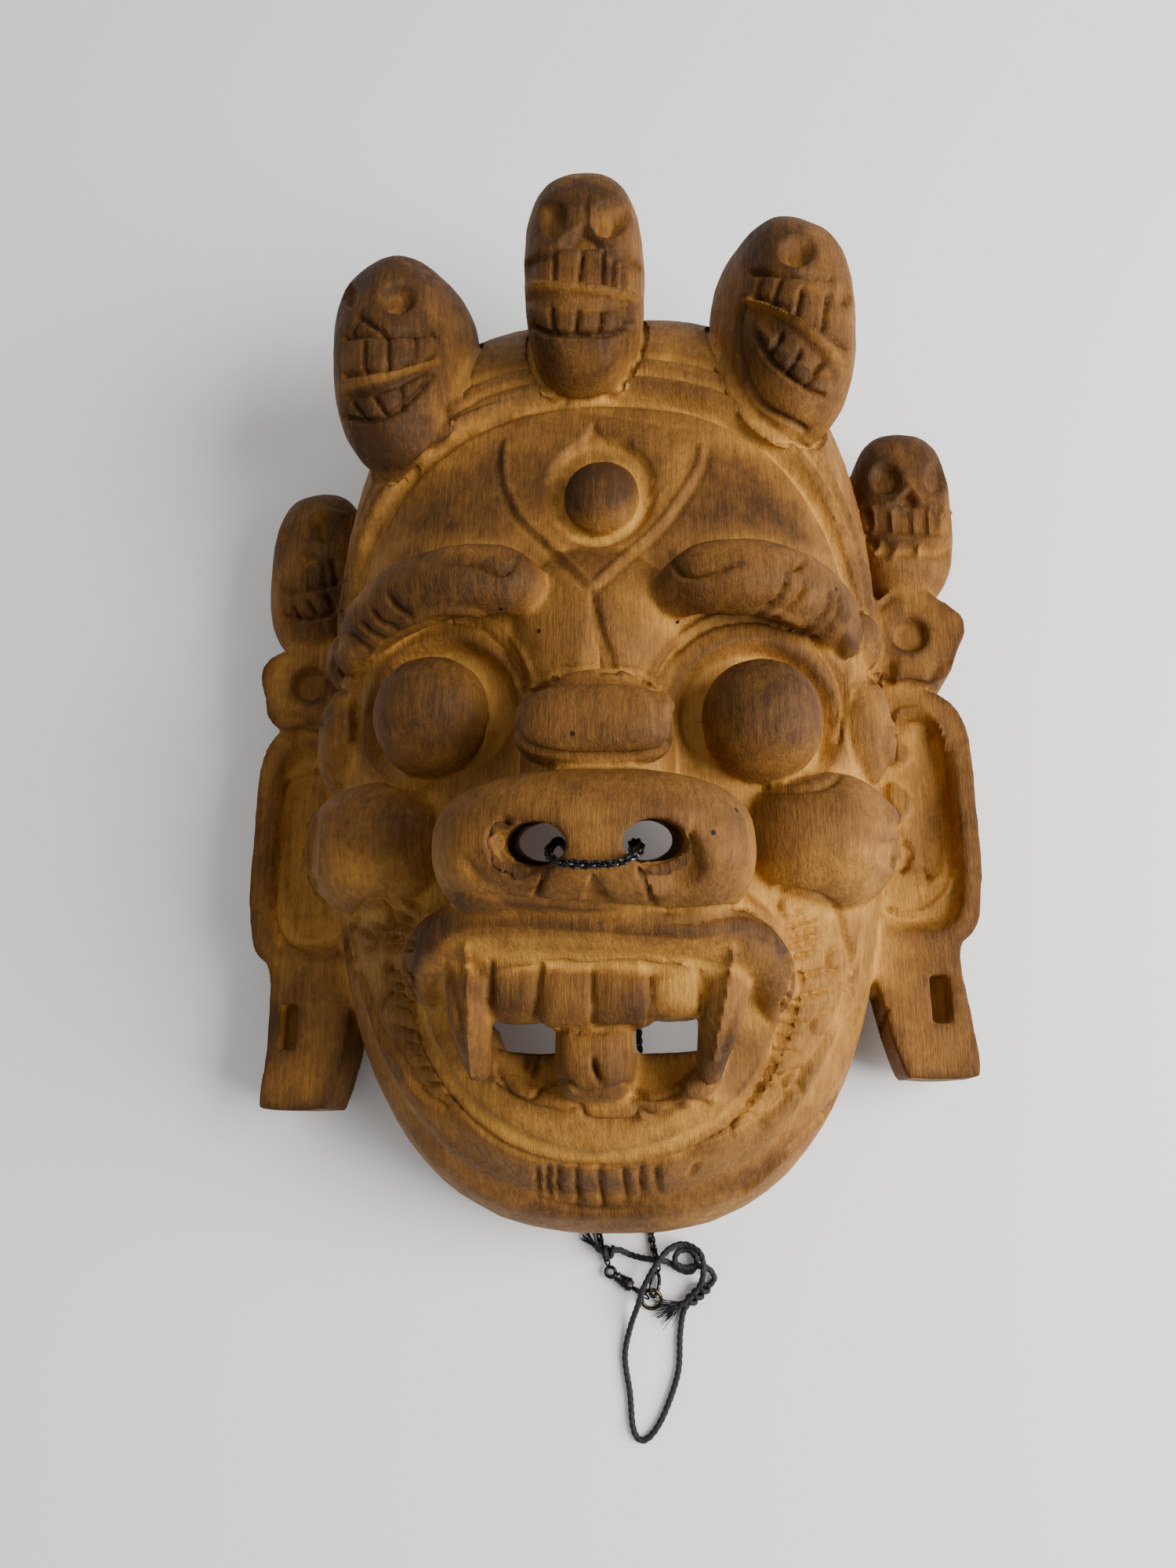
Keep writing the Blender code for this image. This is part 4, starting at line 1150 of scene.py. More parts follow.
@dataclass
class Face:
    """The wrathful face: brows, bulging eyes, wide nose, lip, teeth and tongue."""

    eye_radius: float = 17.0
    socket_radius: float = 23.0
    socket_depth: float = 6.0
    third_eye: float = 12.5
    third_ring: float = 16.5
    third_at: tuple[float, float] = (3.0, 43.5)
    ring_at: tuple[float, float] = (2.5, 47.0)
    third_deep: float = 2.8
    nose_width: float = 81.0
    nose_proud: float = 44.0
    nostril: tuple[float, float, float] = (15.0, 11.0, 28.0)
    mouth: tuple[float, float] = (69.0, 12.0)
    tooth_width: float = 13.3
    tooth_count: int = 4
    tooth_middle: float = 1.2
    eyes: tuple[tuple[float, float], ...] = ((-44.5, -23), (46.5, -27))

    def head_forms(self) -> list[bmesh.types.BMesh]:
        """Make the cheeks, temples, brow root and chin that swell from the plain head.

        Returns:
            The bmeshes, in millimetres.
        """
        on = HEAD.on_face
        made = []
        for side in (-1, 1):
            made.append(lump(pose(on(side * 60.5, -57, 60)), (23, 19.5, 26), 2.3))
            made.append(lump(pose(on(side * 76, -21, 50)), (10, 17, 15), 2.4))
            made.append(lump(pose(on(side * 77, 7, 50)), (8, 9, 13), 2.2))
        made.append(lump(pose(on(1, 2, 68)), (27, 30, 23), 2.2))
        made.append(lump(pose(on(2, -38, 82)), (21, 24, 22), 2.4))
        made.append(lump(pose(on(1, -112, 34)), (54, 40, 38), 2.4))
        return made

    def mouth_forms(self) -> list[bmesh.types.BMesh]:
        """Make the muzzle and the upper lip.

        Returns:
            The bmeshes, in millimetres.
        """
        on = HEAD.on_face
        made = [lump(pose(on(1, -86, 58)), (50, 21, 36), 2.6)]
        lip = ((-45, -100, 62), (-46, -93, 72), (-39, -86, 83), (-22, -84, 90), (1, -84, 92),
               (24, -85, 90), (40, -88, 83), (47, -95, 72), (47, -102, 62))
        made.append(bar(smooth_route([on(*p) for p in lip]), (8, 13, 17, 17, 17, 13, 8),
                        (12, 16, 18, 18, 18, 16, 12)))
        return made

    def nose_forms(self) -> list[bmesh.types.BMesh]:
        """Make the wide nose with its wings, and the pad above it.

        Returns:
            The bmeshes, in millimetres.
        """
        on = HEAD.on_face
        rise = HEAD.depth + self.nose_proud
        half = self.nose_width / 2
        made = [lump(pose(on(2, -64, rise - 28), (6, 0, 0)), (half, 18, 28), 2.5)]
        for side in (-1, 1):
            made.append(lump(pose(on(2 + side * (half - 15), -66, rise - 31)), (15.5, 16.5, 26), 2.2))
        made.append(lump(pose(on(3, -37, 109)), (20, 10, 10), 3.0))
        return made

    def eye_forms(self) -> list[bmesh.types.BMesh]:
        """Make the eyeballs, the third eye and the brows.

        Returns:
            The bmeshes, in millimetres.
        """
        on = HEAD.on_face
        third = (self.third_eye, self.third_eye * 1.04, self.third_eye * 1.08)
        made = [lump(pose(on(*self.third_at, 75)), third, 2.1)]
        ball = (self.eye_radius * 0.97, self.eye_radius, self.eye_radius)
        for x, y in self.eyes:
            made.append(lump(pose(on(x, y, 80.5)), ball, 2.1))
        left = ((-14, 11, 82), (-24, 14, 89), (-38, 14, 90), (-54, 12, 84), (-66, 8, 75), (-74, 2, 63))
        right = ((20, 9, 82), (31, 12, 89), (45, 12, 90), (58, 10, 84), (67, 7, 75), (73, 2, 64))
        for brow in (left, right):
            route = smooth_route([on(*p) for p in brow])
            made.append(bar(route, (12, 20, 21, 21, 18, 11), (12, 17, 17, 16, 14, 9)))
        return made

    def tooth_forms(self) -> list[bmesh.types.BMesh]:
        """Make the teeth, the fangs, the lower gum and the tongue.

        Returns:
            The bmeshes, in millimetres.
        """
        on = HEAD.on_face
        made = []
        for i in range(self.tooth_count):
            x = self.tooth_middle + (i - (self.tooth_count - 1) / 2) * self.tooth_width
            tooth = pose(on(x, -97.5 + 3.5 * (x / 25) ** 2, 79.5 - 4 * (x / 30) ** 2))
            made.append(lump(tooth, (self.tooth_width / 2 + 2.2, 11.5, 10.5), 4.2))
        for fang in (((-32, -88, 77), (-31.5, -104, 82), (-30, -120, 73)),
                     ((35, -90, 77), (33, -105, 82), (29.5, -121, 73))):
            route = smooth_route([on(*p) for p in fang], 12)
            made.append(bar(route, (15, 12, 6), (18, 15, 8)))
        made.append(lump(pose(on(26, -123, 66), (0, 0, 35)), (8, 4, 7), 2.4))
        gum = ((-32, -108, 58), (-27, -120, 60), (-15, -127, 61), (1, -129, 61), (17, -128, 61),
               (29, -121, 60), (35, -109, 58))
        made.append(bar(smooth_route([on(*p) for p in gum]), (8, 11, 8), (18, 18, 18)))
        made.append(lump(pose(on(0, -114, 66), (-6, 0, 0)), (10.5, 13.5, 16), 3.4))
        return made

    def nostril_cutters(self) -> list[bmesh.types.BMesh]:
        """Make the two bores that run from the nose into the hollow.

        Returns:
            The bmeshes, in millimetres.
        """
        wide, tall, spacing = self.nostril
        cuts = []
        for side in (-1, 1):
            start = HEAD.on_face(6 + side * spacing / 2, -75.5, 145)
            finish = HEAD.on_face(-3 + side * spacing / 2, -47, 30)
            cuts.append(bar([start, finish], (wide, wide), (tall, tall), up=(0, 1, 0)))
        return cuts

    def mouth_cutters(self) -> list[bmesh.types.BMesh]:
        """Make the slot that goes right through and the flare in front of it.

        Returns:
            The bmeshes, in millimetres.
        """
        wide, gap = self.mouth
        slot = lump(pose(HEAD.on_face(1, -108, 40)), (wide / 2, gap / 2, 70), 4.0)
        flare = lump(pose(HEAD.on_face(1, -111, 86)), (wide / 2 + 3, 18, 24), 2.8)
        return [slot, flare]


# Carving that is read from the photograph


@dataclass
class PhotoCarving:
    """Cuts and stains what the photograph shows on the wood, where its camera sees it, and paints light and
    shade into the stain.

    Places and widths are pixels of the 1500 by 2000 picture. Depths are millimetres, and one below 0
    raises a welt.
    """

    chisel: Chisel
    thin: float = 9.0
    broad: float = 13.0

    def lines(self, routes: Sequence[Route], width: float, depth: float, tail: bool = False) -> None:
        """Cut several lines alike."""
        for route in routes:
            self.chisel.mark(route, width, depth, tail)

    @staticmethod
    def oval(x: float, y: float, half_wide: float, half_tall: float) -> Route:
        """Give eight points round an oval."""
        turns = [math.tau * step / 8 for step in range(8)]
        return [(x + half_wide * math.cos(turn), y + half_tall * math.sin(turn)) for turn in turns]

    def forehead(self) -> None:
        """Cut the shield's border, the third eye's ring and flame, and the wedge below."""
        chisel = self.chisel
        left_border = ((646, 565), (643, 590), (648, 621), (663, 655), (687, 679), (716, 708), (755, 746))
        right_border = ((895, 570), (888, 597), (871, 626), (849, 658), (825, 684), (793, 711), (755, 746))
        self.lines((left_border, right_border), 9, -0.7)
        beside, below = 9, 5
        left_shadow = [(x - beside, y + below) for x, y in left_border]
        right_shadow = [(x + beside, y + below) for x, y in right_border]
        self.lines((left_shadow, right_shadow), 10, 0.5)
        lid = ((706, 648), (712, 668), (730, 686), (760, 691), (790, 684), (812, 664), (828, 640),
               (838, 612))
        chisel.mark(lid, 7, -0.8, tail=True)
        flame_tip = ((742, 562), (757, 538), (772, 562))
        chisel.patch(flame_tip, 1.2, 6, smooth=False)
        wedge_line = ((755, 746), (758, 800), (765, 860))
        chisel.mark(wedge_line, self.thin, 0.7)
        wedge_face = ((757, 762), (769, 805), (784, 862), (765, 862), (759, 800))
        chisel.patch(wedge_face, 1.1, 6, smooth=False)
        wedge_edge = ((759, 764), (769, 805), (781, 839), (786, 863))
        chisel.mark(wedge_edge, 7, 0.6)
        light_face = ((755, 760), (757, 800), (762, 858), (744, 856), (746, 800))
        chisel.patch(light_face, 0.5, 8, smooth=False)
        band_foot = ((648, 536), (600, 553), (561, 582), (532, 597), (512, 621), (493, 655), (482, 684))
        band_top = ((580, 529), (614, 514), (643, 507), (690, 497))
        self.lines((band_foot, band_top), self.thin, 0.8, tail=True)
        band_right = (
            ((1009, 570), (1038, 609), (1062, 655), (1084, 718), (1096, 767), (1101, 808)),
            ((1024, 558), (1053, 592), (1074, 641), (1094, 694), (1104, 730)),
        )
        self.lines(band_right, 8, -0.7, tail=True)
        crown_lines = (
            ((740, 524), (788, 531), (861, 544), (910, 548)), ((740, 513), (837, 520), (895, 529)),
        )
        self.lines(crown_lines, 7, 0.4, tail=True)

    def brows(self) -> None:
        """Cut the curl at each brow's inner end and the hair strokes at its outer end."""
        left_curl = ((660, 711), (655, 723), (646, 731), (634, 733), (621, 728), (609, 720), (580, 716))
        right_curl = ((854, 704), (858, 718), (864, 730), (876, 736), (895, 733), (919, 725), (948, 718))
        self.lines((left_curl, right_curl), self.thin, 1.3, tail=True)
        left_hairs = (
            ((495, 760), (505, 774), (524, 787)), ((474, 778), (487, 795), (508, 801)),
            ((461, 794), (474, 808), (491, 815)), ((450, 810), (460, 822), (472, 828)),
        )
        right_hairs = (
            ((1005, 730), (1002, 750), (987, 769), (961, 784)),
            ((1028, 742), (1024, 757), (1009, 774), (985, 787)),
            ((1060, 757), (1058, 774), (1045, 791), (1026, 804)),
            ((1072, 764), (1070, 786), (1058, 801), (1038, 814)), ((1004, 716), (1016, 725), (1027, 714)),
        )
        self.lines(left_hairs + right_hairs, self.thin, 1.4, tail=True)

    def sockets(self) -> None:
        """Cut the double lid lines round the eyes and swell the small lobes beside them."""
        chisel = self.chisel
        left_lid = ((455, 945), (453, 905), (461, 861), (482, 831), (510, 808), (551, 793), (585, 792),
                    (614, 801), (640, 824), (660, 853), (668, 878))
        left_rim = ((446, 943), (446, 905), (455, 875), (473, 839), (499, 814), (548, 784), (592, 780),
                    (630, 792), (654, 816), (674, 849), (682, 876))
        right_lid = ((837, 873), (856, 839), (881, 815), (910, 798), (948, 791), (982, 793), (1011, 803),
                     (1033, 815), (1055, 840), (1070, 868), (1076, 905), (1070, 945))
        right_rim = ((826, 868), (848, 830), (877, 806), (908, 788), (950, 781), (988, 783), (1018, 794))
        self.lines((left_lid, right_lid), self.thin, 1.2)
        self.lines((left_rim, right_rim), 10, -0.7)
        left_under = ((456, 960), (480, 985), (507, 1000), (543, 1004), (565, 992))
        right_under = ((974, 1006), (1000, 1007), (1043, 1005), (1066, 995), (1073, 977))
        self.lines((left_under, right_under), self.thin, 0.9, tail=True)
        lobes = (
            ((419, 874), (420, 849), (433, 828), (446, 833), (455, 854), (451, 879), (438, 895),
             (425, 892)),
            ((1079, 806), (1094, 823), (1099, 851), (1092, 877), (1080, 893), (1073, 868), (1072, 830)),
            ((1092, 880), (1110, 902), (1125, 933), (1127, 966), (1115, 1000), (1098, 985), (1084, 945),
             (1082, 905)),
        )
        for lobe, swell, edge in zip(lobes, (1.3, 1.3, 0.7), (12, 12, 26)):
            chisel.patch(lobe, -swell, edge)

    def nose(self) -> None:
        """Flare the nostrils and cut the facets below the septum and the arch over the pad."""
        chisel = self.chisel
        left_flare = ((622, 1072), (630, 1055), (646, 1045), (652, 1066), (672, 1090), (706, 1091),
                      (697, 1106), (681, 1114), (650, 1114), (630, 1098))
        right_flare = ((882, 1062), (893, 1086), (895, 1109), (883, 1124), (862, 1135), (834, 1133),
                       (815, 1114), (822, 1104), (850, 1099), (875, 1082))
        for flare in (left_flare, right_flare):
            chisel.patch(flare, 3.2, 13)
        arch = ((683, 876), (706, 865), (744, 860), (783, 861), (818, 867), (842, 882), (856, 904))
        over_arch = ((688, 864), (706, 855), (744, 850), (783, 851), (820, 857), (848, 874))
        under_pad = ((657, 930), (668, 946), (686, 957), (732, 964), (801, 964), (838, 960), (856, 946))
        chisel.mark(arch, 10, -0.9)
        chisel.mark(over_arch, 7, 0.6, tail=True)
        chisel.mark(under_pad, 10, 1.0)
        facet_edges = (((698, 1106), (690, 1129), (684, 1144)), ((818, 1118), (825, 1135), (833, 1154)))
        self.lines(facet_edges, self.thin, 1.5)
        notch = ((755, 1116), (778, 1149), (744, 1149))
        chisel.patch(notch, 1.9, 6, smooth=False)
        wing_foot = ((589, 1092), (609, 1115), (632, 1133), (684, 1134))
        chisel.mark(wing_foot, self.broad, 0.6, tail=True)

    def lip(self) -> None:
        """Hollow the slope between the lip's ridge and the teeth."""
        chisel = self.chisel
        slope = ((570, 1204), (605, 1193), (664, 1190), (723, 1193), (780, 1195), (828, 1201), (887, 1205),
                 (930, 1199), (950, 1204), (934, 1212), (912, 1224), (893, 1236), (857, 1240), (828, 1245),
                 (784, 1240), (746, 1239), (679, 1235), (635, 1231), (605, 1206), (578, 1212))
        chisel.patch(slope, 0.8, 18)
        slope_edge = ((572, 1200), (605, 1188), (664, 1185), (723, 1189), (828, 1196), (887, 1200),
                      (930, 1193), (963, 1190), (990, 1203))
        chisel.mark(slope_edge, 8, 0.4)
        right_crack = ((740, 1173), (828, 1175), (881, 1177), (916, 1170), (951, 1167), (984, 1180))
        chisel.mark(right_crack, 7, 0.6, tail=True)
        lip_top = ((526, 1203), (541, 1173), (564, 1152), (588, 1142), (664, 1149), (780, 1157),
                   (872, 1163), (951, 1158), (992, 1186), (1009, 1237))
        chisel.mark(lip_top, self.thin, 0.8)

    def teeth(self) -> None:
        """Part the teeth, square the fangs and cut the gum, the tongue and their cracks."""
        chisel = self.chisel
        partings = (
            ((626, 1229), (624, 1280)), ((689, 1236), (682, 1298)), ((754, 1238), (756, 1306)),
            ((831, 1245), (828, 1303)), ((893, 1240), (892, 1296)),
        )
        self.lines(partings, 9, 0.8)
        left_fang_ridge = ((594, 1206), (597, 1273), (598, 1325), (603, 1370))
        right_fang_ridge = ((934, 1210), (926, 1270), (915, 1325), (912, 1350))
        self.lines((left_fang_ridge, right_fang_ridge), 10, -0.8)
        fang_sides = (
            ((566, 1222), (575, 1255), (584, 1300), (593, 1352), (600, 1376)),
            ((956, 1245), (942, 1280), (931, 1311), (922, 1345)),
        )
        self.lines(fang_sides, 10, 0.5)
        gum_top = ((634, 1362), (650, 1396), (676, 1402), (697, 1383), (724, 1381), (740, 1394),
                   (780, 1392), (803, 1384), (828, 1401), (863, 1393), (867, 1378))
        gum_foot = ((632, 1386), (658, 1404), (693, 1415), (717, 1418), (740, 1411), (748, 1426),
                    (769, 1430), (806, 1429), (815, 1414), (837, 1426), (869, 1409), (904, 1408))
        self.lines((gum_top, gum_foot), self.thin, 1.0)
        tongue_crack = ((756, 1350), (759, 1366), (765, 1382))
        chisel.mark(tongue_crack, 9, 2.2, tail=True)
        gum_cracks = (((674, 1346), (673, 1362)), ((689, 1346), (680, 1373)))
        self.lines(gum_cracks, 8, 1.4, tail=True)
        tongue_top = ((700, 1312), (755, 1316), (808, 1312))
        chisel.mark(tongue_top, self.broad, 0.8)

    def jaw(self) -> None:
        """Cut the jaw's outer line, sink the beard and edge its raised border."""
        chisel = self.chisel
        jaw_line = ((523, 1250), (530, 1290), (541, 1343), (564, 1384), (588, 1416), (623, 1449),
                    (664, 1472), (708, 1484), (760, 1488), (800, 1487), (852, 1478), (884, 1469),
                    (922, 1440), (951, 1411), (969, 1384), (981, 1355), (995, 1311), (1001, 1275))
        chisel.mark(jaw_line, self.thin, 1.0)
        left_border = ((500, 1140), (476, 1146), (459, 1161), (441, 1190), (438, 1208), (444, 1229),
                       (462, 1258), (470, 1284), (485, 1320), (512, 1355), (526, 1384), (547, 1405),
                       (567, 1416))
        right_border = ((990, 1134), (1019, 1138), (1051, 1146), (1072, 1167), (1080, 1196), (1089, 1226),
                        (1089, 1252), (1077, 1284), (1060, 1320), (1033, 1361), (1004, 1402), (975, 1428),
                        (928, 1455), (887, 1466))
        left_inner = ((588, 1416), (564, 1384), (541, 1343), (530, 1290), (523, 1250), (528, 1190))
        right_inner = ((922, 1440), (951, 1411), (981, 1355), (995, 1311), (1009, 1237), (1000, 1190))
        for beard in (left_border + left_inner, right_border + right_inner):
            chisel.patch(beard, 0.9, 8)
        self.lines((left_border, right_border), self.thin, 1.0)
        rim_step = ((1127, 1290), (1104, 1355), (1063, 1408), (1028, 1446), (992, 1481), (945, 1522))
        chisel.mark(rim_step, 10, 1.4)

    def beard(self) -> None:
        """Cut the beard's strokes from the jaw line outwards, with curls at their ends."""
        left_strokes = (
            ((509, 1148), (538, 1158)), ((507, 1167), (532, 1176)), ((500, 1178), (526, 1187)),
            ((482, 1193), (526, 1201)), ((490, 1208), (523, 1212)), ((490, 1238), (526, 1249)),
            ((492, 1255), (527, 1262)), ((492, 1268), (529, 1277)), ((500, 1286), (530, 1296)),
            ((497, 1311), (535, 1322)), ((499, 1329), (538, 1339)), ((520, 1349), (544, 1353)),
            ((525, 1364), (549, 1367)), ((535, 1386), (562, 1386)), ((556, 1402), (578, 1404)),
        )
        right_strokes = (
            ((1001, 1185), (1033, 1173), (1057, 1164)), ((1004, 1198), (1033, 1189), (1055, 1184)),
            ((1005, 1210), (1030, 1203), (1052, 1200)), ((1004, 1226), (1030, 1218), (1046, 1215)),
            ((1003, 1248), (1033, 1245), (1059, 1236)), ((1001, 1273), (1039, 1269), (1077, 1256)),
            ((999, 1290), (1025, 1288)), ((997, 1308), (1031, 1304)), ((992, 1325), (1022, 1322)),
            ((989, 1343), (1022, 1345)), ((981, 1361), (1000, 1358)), ((977, 1375), (1002, 1375)),
            ((967, 1389), (989, 1390)), ((955, 1404), (975, 1406)),
        )
        self.lines(left_strokes + right_strokes, self.thin, 1.3, tail=True)
        left_curls = (
            ((473, 1150), (489, 1158), (497, 1172), (489, 1184), (478, 1180)),
            ((453, 1185), (467, 1193), (475, 1203), (468, 1212), (459, 1208)),
            ((485, 1246), (494, 1232), (497, 1228)), ((480, 1290), (486, 1276), (495, 1264)),
        )
        right_curls = (
            ((1075, 1209), (1062, 1216), (1059, 1227), (1065, 1237), (1079, 1239)),
            ((1064, 1290), (1046, 1298), (1039, 1311), (1042, 1325)),
            ((1026, 1366), (1009, 1374), (1003, 1387), (1006, 1400)),
            ((964, 1424), (943, 1428), (935, 1440), (938, 1452)), ((1022, 1387), (1021, 1396)),
            ((996, 1150), (999, 1163), (1006, 1165)), ((1014, 1164), (1028, 1163)),
        )
        self.lines(left_curls + right_curls, self.thin, 1.3, tail=True)
        hair_top = 1490
        chin_hairs = ((684, 2, 34), (698, 1, 40), (711, 2, 40), (735, 2, 50), (764, 5, 56), (796, 3, 44),
                      (818, 1, 38), (838, 3, 30))
        strokes = [((x, hair_top), (x + lean, hair_top + tall)) for x, lean, tall in chin_hairs]
        self.lines(strokes, self.thin, 1.4, tail=True)
        hair_foot = ((690, 1532), (735, 1543), (790, 1546), (845, 1538))
        chin_side = ((878, 1500), (890, 1484))
        self.lines((hair_foot, chin_side), self.thin, 0.8, tail=True)
        block = ((690, 1488), (760, 1494), (830, 1490), (834, 1526), (780, 1540), (700, 1530))
        self.chisel.patch(block, 0.5, 10)

    def middle_skull(self) -> None:
        """Cut the face of the crown's middle skull."""
        chisel = self.chisel
        left_socket = ((692, 270), (703, 260), (717, 263), (718, 284), (708, 299), (694, 293))
        chisel.patch(left_socket, 3.4, 10)
        right_socket = self.oval(778, 279, 21, 20)
        chisel.patch(right_socket, 3.6, 12)
        nose_bridge = ((747, 250), (747, 287))
        chisel.mark(nose_bridge, 8, 0.7, tail=True)
        nose_hole = ((743, 290), (761, 302), (771, 314), (715, 314))
        chisel.patch(nose_hole, 2.4, 6, smooth=False)
        cheek_line = ((669, 338), (702, 319), (715, 312), (743, 289), (761, 300), (784, 321), (818, 344))
        chisel.mark(cheek_line, self.thin, 1.2, smooth=False)
        upper_row = ((669, 341), (703, 323), (716, 318), (771, 318), (784, 327), (816, 349), (812, 371),
                     (739, 360), (674, 358))
        chisel.patch(upper_row, 1.2, 6, smooth=False)
        upper_partings = (
            ((704, 322), (703, 357)), ((742, 319), (737, 359)), ((772, 320), (772, 362)),
            ((787, 330), (787, 366)), ((801, 340), (801, 369)),
        )
        self.lines(upper_partings, 8, 1.2)
        ledge = ((684, 364), (739, 365), (802, 376))
        chisel.mark(ledge, self.broad, -1.2)
        tongue = ((672, 378), (730, 374), (806, 382), (796, 394), (740, 398), (684, 393))
        chisel.patch(tongue, 1.0, 8)
        lower_partings = (((701, 394), (706, 422)), ((737, 396), (734, 422)), ((769, 396), (765, 422)))
        self.lines(lower_partings, 9, 1.3)
        row_foot = ((680, 417), (704, 426), (745, 427), (782, 426), (806, 414))
        chisel.mark(row_foot, 10, 1.5)
        side_edges = (((804, 397), (807, 440), (804, 478)), ((812, 382), (798, 419)))
        self.lines(side_edges, self.thin, 0.9)

    def left_skull(self) -> None:
        """Cut the face of the crown's left skull."""
        chisel = self.chisel
        near_socket = self.oval(507, 379, 21, 17)
        far_socket = self.oval(446, 376, 9, 14)
        chisel.patch(near_socket, 3.6, 11)
        chisel.patch(far_socket, 2.2, 9)
        nose_legs = ((448, 425), (459, 403), (490, 425))
        chisel.mark(nose_legs, self.thin, 1.3, smooth=False)
        row_tops = (((440, 431), (474, 426), (556, 425)), ((440, 479), (456, 476), (500, 468), (556, 455)))
        self.lines(row_tops, self.thin, 1.3)
        upper_partings = (((464, 437), (464, 472)), ((495, 428), (495, 468)), ((532, 428), (532, 458)))
        lower_partings = (((477, 506), (490, 528)), ((512, 493), (516, 521)), ((451, 516), (464, 533)))
        self.lines(upper_partings + lower_partings, 8, 1.2)
        gum = ((440, 490), (500, 478), (553, 461))
        roll = ((443, 506), (500, 492), (553, 468))
        chisel.mark(gum, self.thin, -1.0)
        chisel.mark(roll, self.broad, 1.2)
        row_foot = ((442, 532), (470, 537), (500, 527), (530, 505), (557, 474))
        chisel.mark(row_foot, 10, 1.4)
        side_edge = ((558, 424), (565, 480), (574, 538))
        chisel.mark(side_edge, 10, 1.0)

    def right_skull(self) -> None:
        """Cut the face of the crown's right skull."""
        chisel = self.chisel
        near_socket = self.oval(1016, 319, 21, 17)
        far_socket = self.oval(1077, 376, 8, 13)
        chisel.patch(near_socket, 3.6, 11)
        chisel.patch(far_socket, 1.8, 8)
        row_lines = (
            ((958, 348), (1010, 350), (1060, 354)),
            ((963, 379), (990, 389), (1016, 403), (1050, 424), (1079, 442)),
        )
        self.lines(row_lines, self.thin, 1.3)
        upper_partings = (
            ((970, 354), (964, 380)), ((995, 355), (985, 387)), ((1023, 369), (1016, 401)),
            ((1057, 376), (1051, 418)),
        )
        lower_partings = (((994, 424), (982, 452)), ((1022, 446), (1004, 474)), ((1051, 465), (1029, 491)))
        self.lines(upper_partings + lower_partings, self.thin, 1.3)
        ledge = ((952, 383), (987, 393), (1026, 415), (1060, 451), (1079, 463))
        chisel.mark(ledge, self.broad, -1.3)
        mouth = ((960, 399), (992, 400), (1026, 428), (1066, 476), (1046, 478), (1004, 448), (976, 422))
        chisel.patch(mouth, 1.2, 8)
        row_foot = ((966, 430), (980, 456), (1004, 478), (1030, 496), (1050, 504))
        cheek_edge = ((951, 380), (942, 422), (948, 470), (970, 514), (1026, 547))
        self.lines((row_foot, cheek_edge), 10, 1.3)

    def side_skulls(self) -> None:
        """Cut the faces of the two small skulls on the ear boards."""
        chisel = self.chisel
        inner_socket = self.oval(1130, 610, 18, 18)
        outer_socket = self.oval(1194, 609, 13, 19)
        chisel.patch(inner_socket, 2.8, 9)
        chisel.patch(outer_socket, 2.0, 9)
        nose_hole = ((1160, 625), (1170, 646), (1146, 642))
        chisel.patch(nose_hole, 2.2, 5, smooth=False)
        upper_row = ((1100, 655), (1138, 648), (1174, 646), (1215, 662), (1213, 682), (1166, 680),
                     (1105, 675))
        chisel.patch(upper_row, 1.3, 6, smooth=False)
        brow_line = ((1096, 650), (1138, 642), (1161, 620), (1174, 639), (1218, 657))
        chisel.mark(brow_line, 8, -0.6, smooth=False)
        bar_top, bar_foot = 650, 680
        bars = [((x, bar_top), (x, bar_foot)) for x in (1114, 1138, 1166, 1186, 1201)]
        self.lines(bars, 7, -0.8)
        ledge = ((1103, 684), (1166, 688), (1204, 690))
        chisel.mark(ledge, self.thin, -0.9)
        lower_row = ((1106, 692), (1150, 696), (1212, 698), (1206, 711), (1160, 710), (1120, 707))
        chisel.patch(lower_row, 1.3, 6, smooth=False)
        lower_bars = (((1123, 693), (1117, 706)), ((1146, 697), (1138, 710)), ((1172, 698), (1170, 710)))
        self.lines(lower_bars, 8, -1.0)
        left_socket = ((401, 660), (416, 657), (419, 672), (416, 687), (404, 684))
        chisel.patch(left_socket, 3.2, 8)
        far_left_socket = self.oval(364, 684, 7, 8)
        chisel.patch(far_left_socket, 1.6, 6)
        left_brow = ((392, 667), (406, 654), (423, 653), (436, 657))
        chisel.mark(left_brow, 8, -0.5)
        left_nose = ((384, 710), (409, 709), (399, 720), (389, 719))
        chisel.patch(left_nose, 1.8, 5, smooth=False)
        left_lines = (
            ((363, 757), (400, 750), (437, 741)), ((362, 786), (400, 789), (432, 779)),
            ((411, 716), (414, 744)), ((389, 724), (389, 748)), ((425, 716), (430, 741)),
        )
        self.lines(left_lines, self.thin, 1.1)
        left_partings = (((392, 769), (402, 783)), ((418, 760), (426, 775)), ((372, 775), (378, 786)))
        self.lines(left_partings, self.thin, 1.5)

    def rosettes(self) -> None:
        """Part the petals of both rosettes."""
        creases = (
            ((1190, 838), (1208, 842), (1224, 840)), ((1186, 868), (1192, 856), (1200, 846)),
            ((1114, 822), (1128, 832), (1142, 838)), ((1120, 776), (1132, 766), (1142, 760)),
            ((1150, 868), (1170, 873), (1190, 878)), ((360, 907), (387, 919), (408, 922), (422, 906)),
            ((378, 933), (396, 925), (410, 927)),
        )
        self.lines(creases, self.broad, 0.7, tail=True)
        scoop = ((1106, 866), (1116, 849), (1136, 843), (1141, 859), (1134, 873))
        self.chisel.patch(scoop, 2.0, 8)

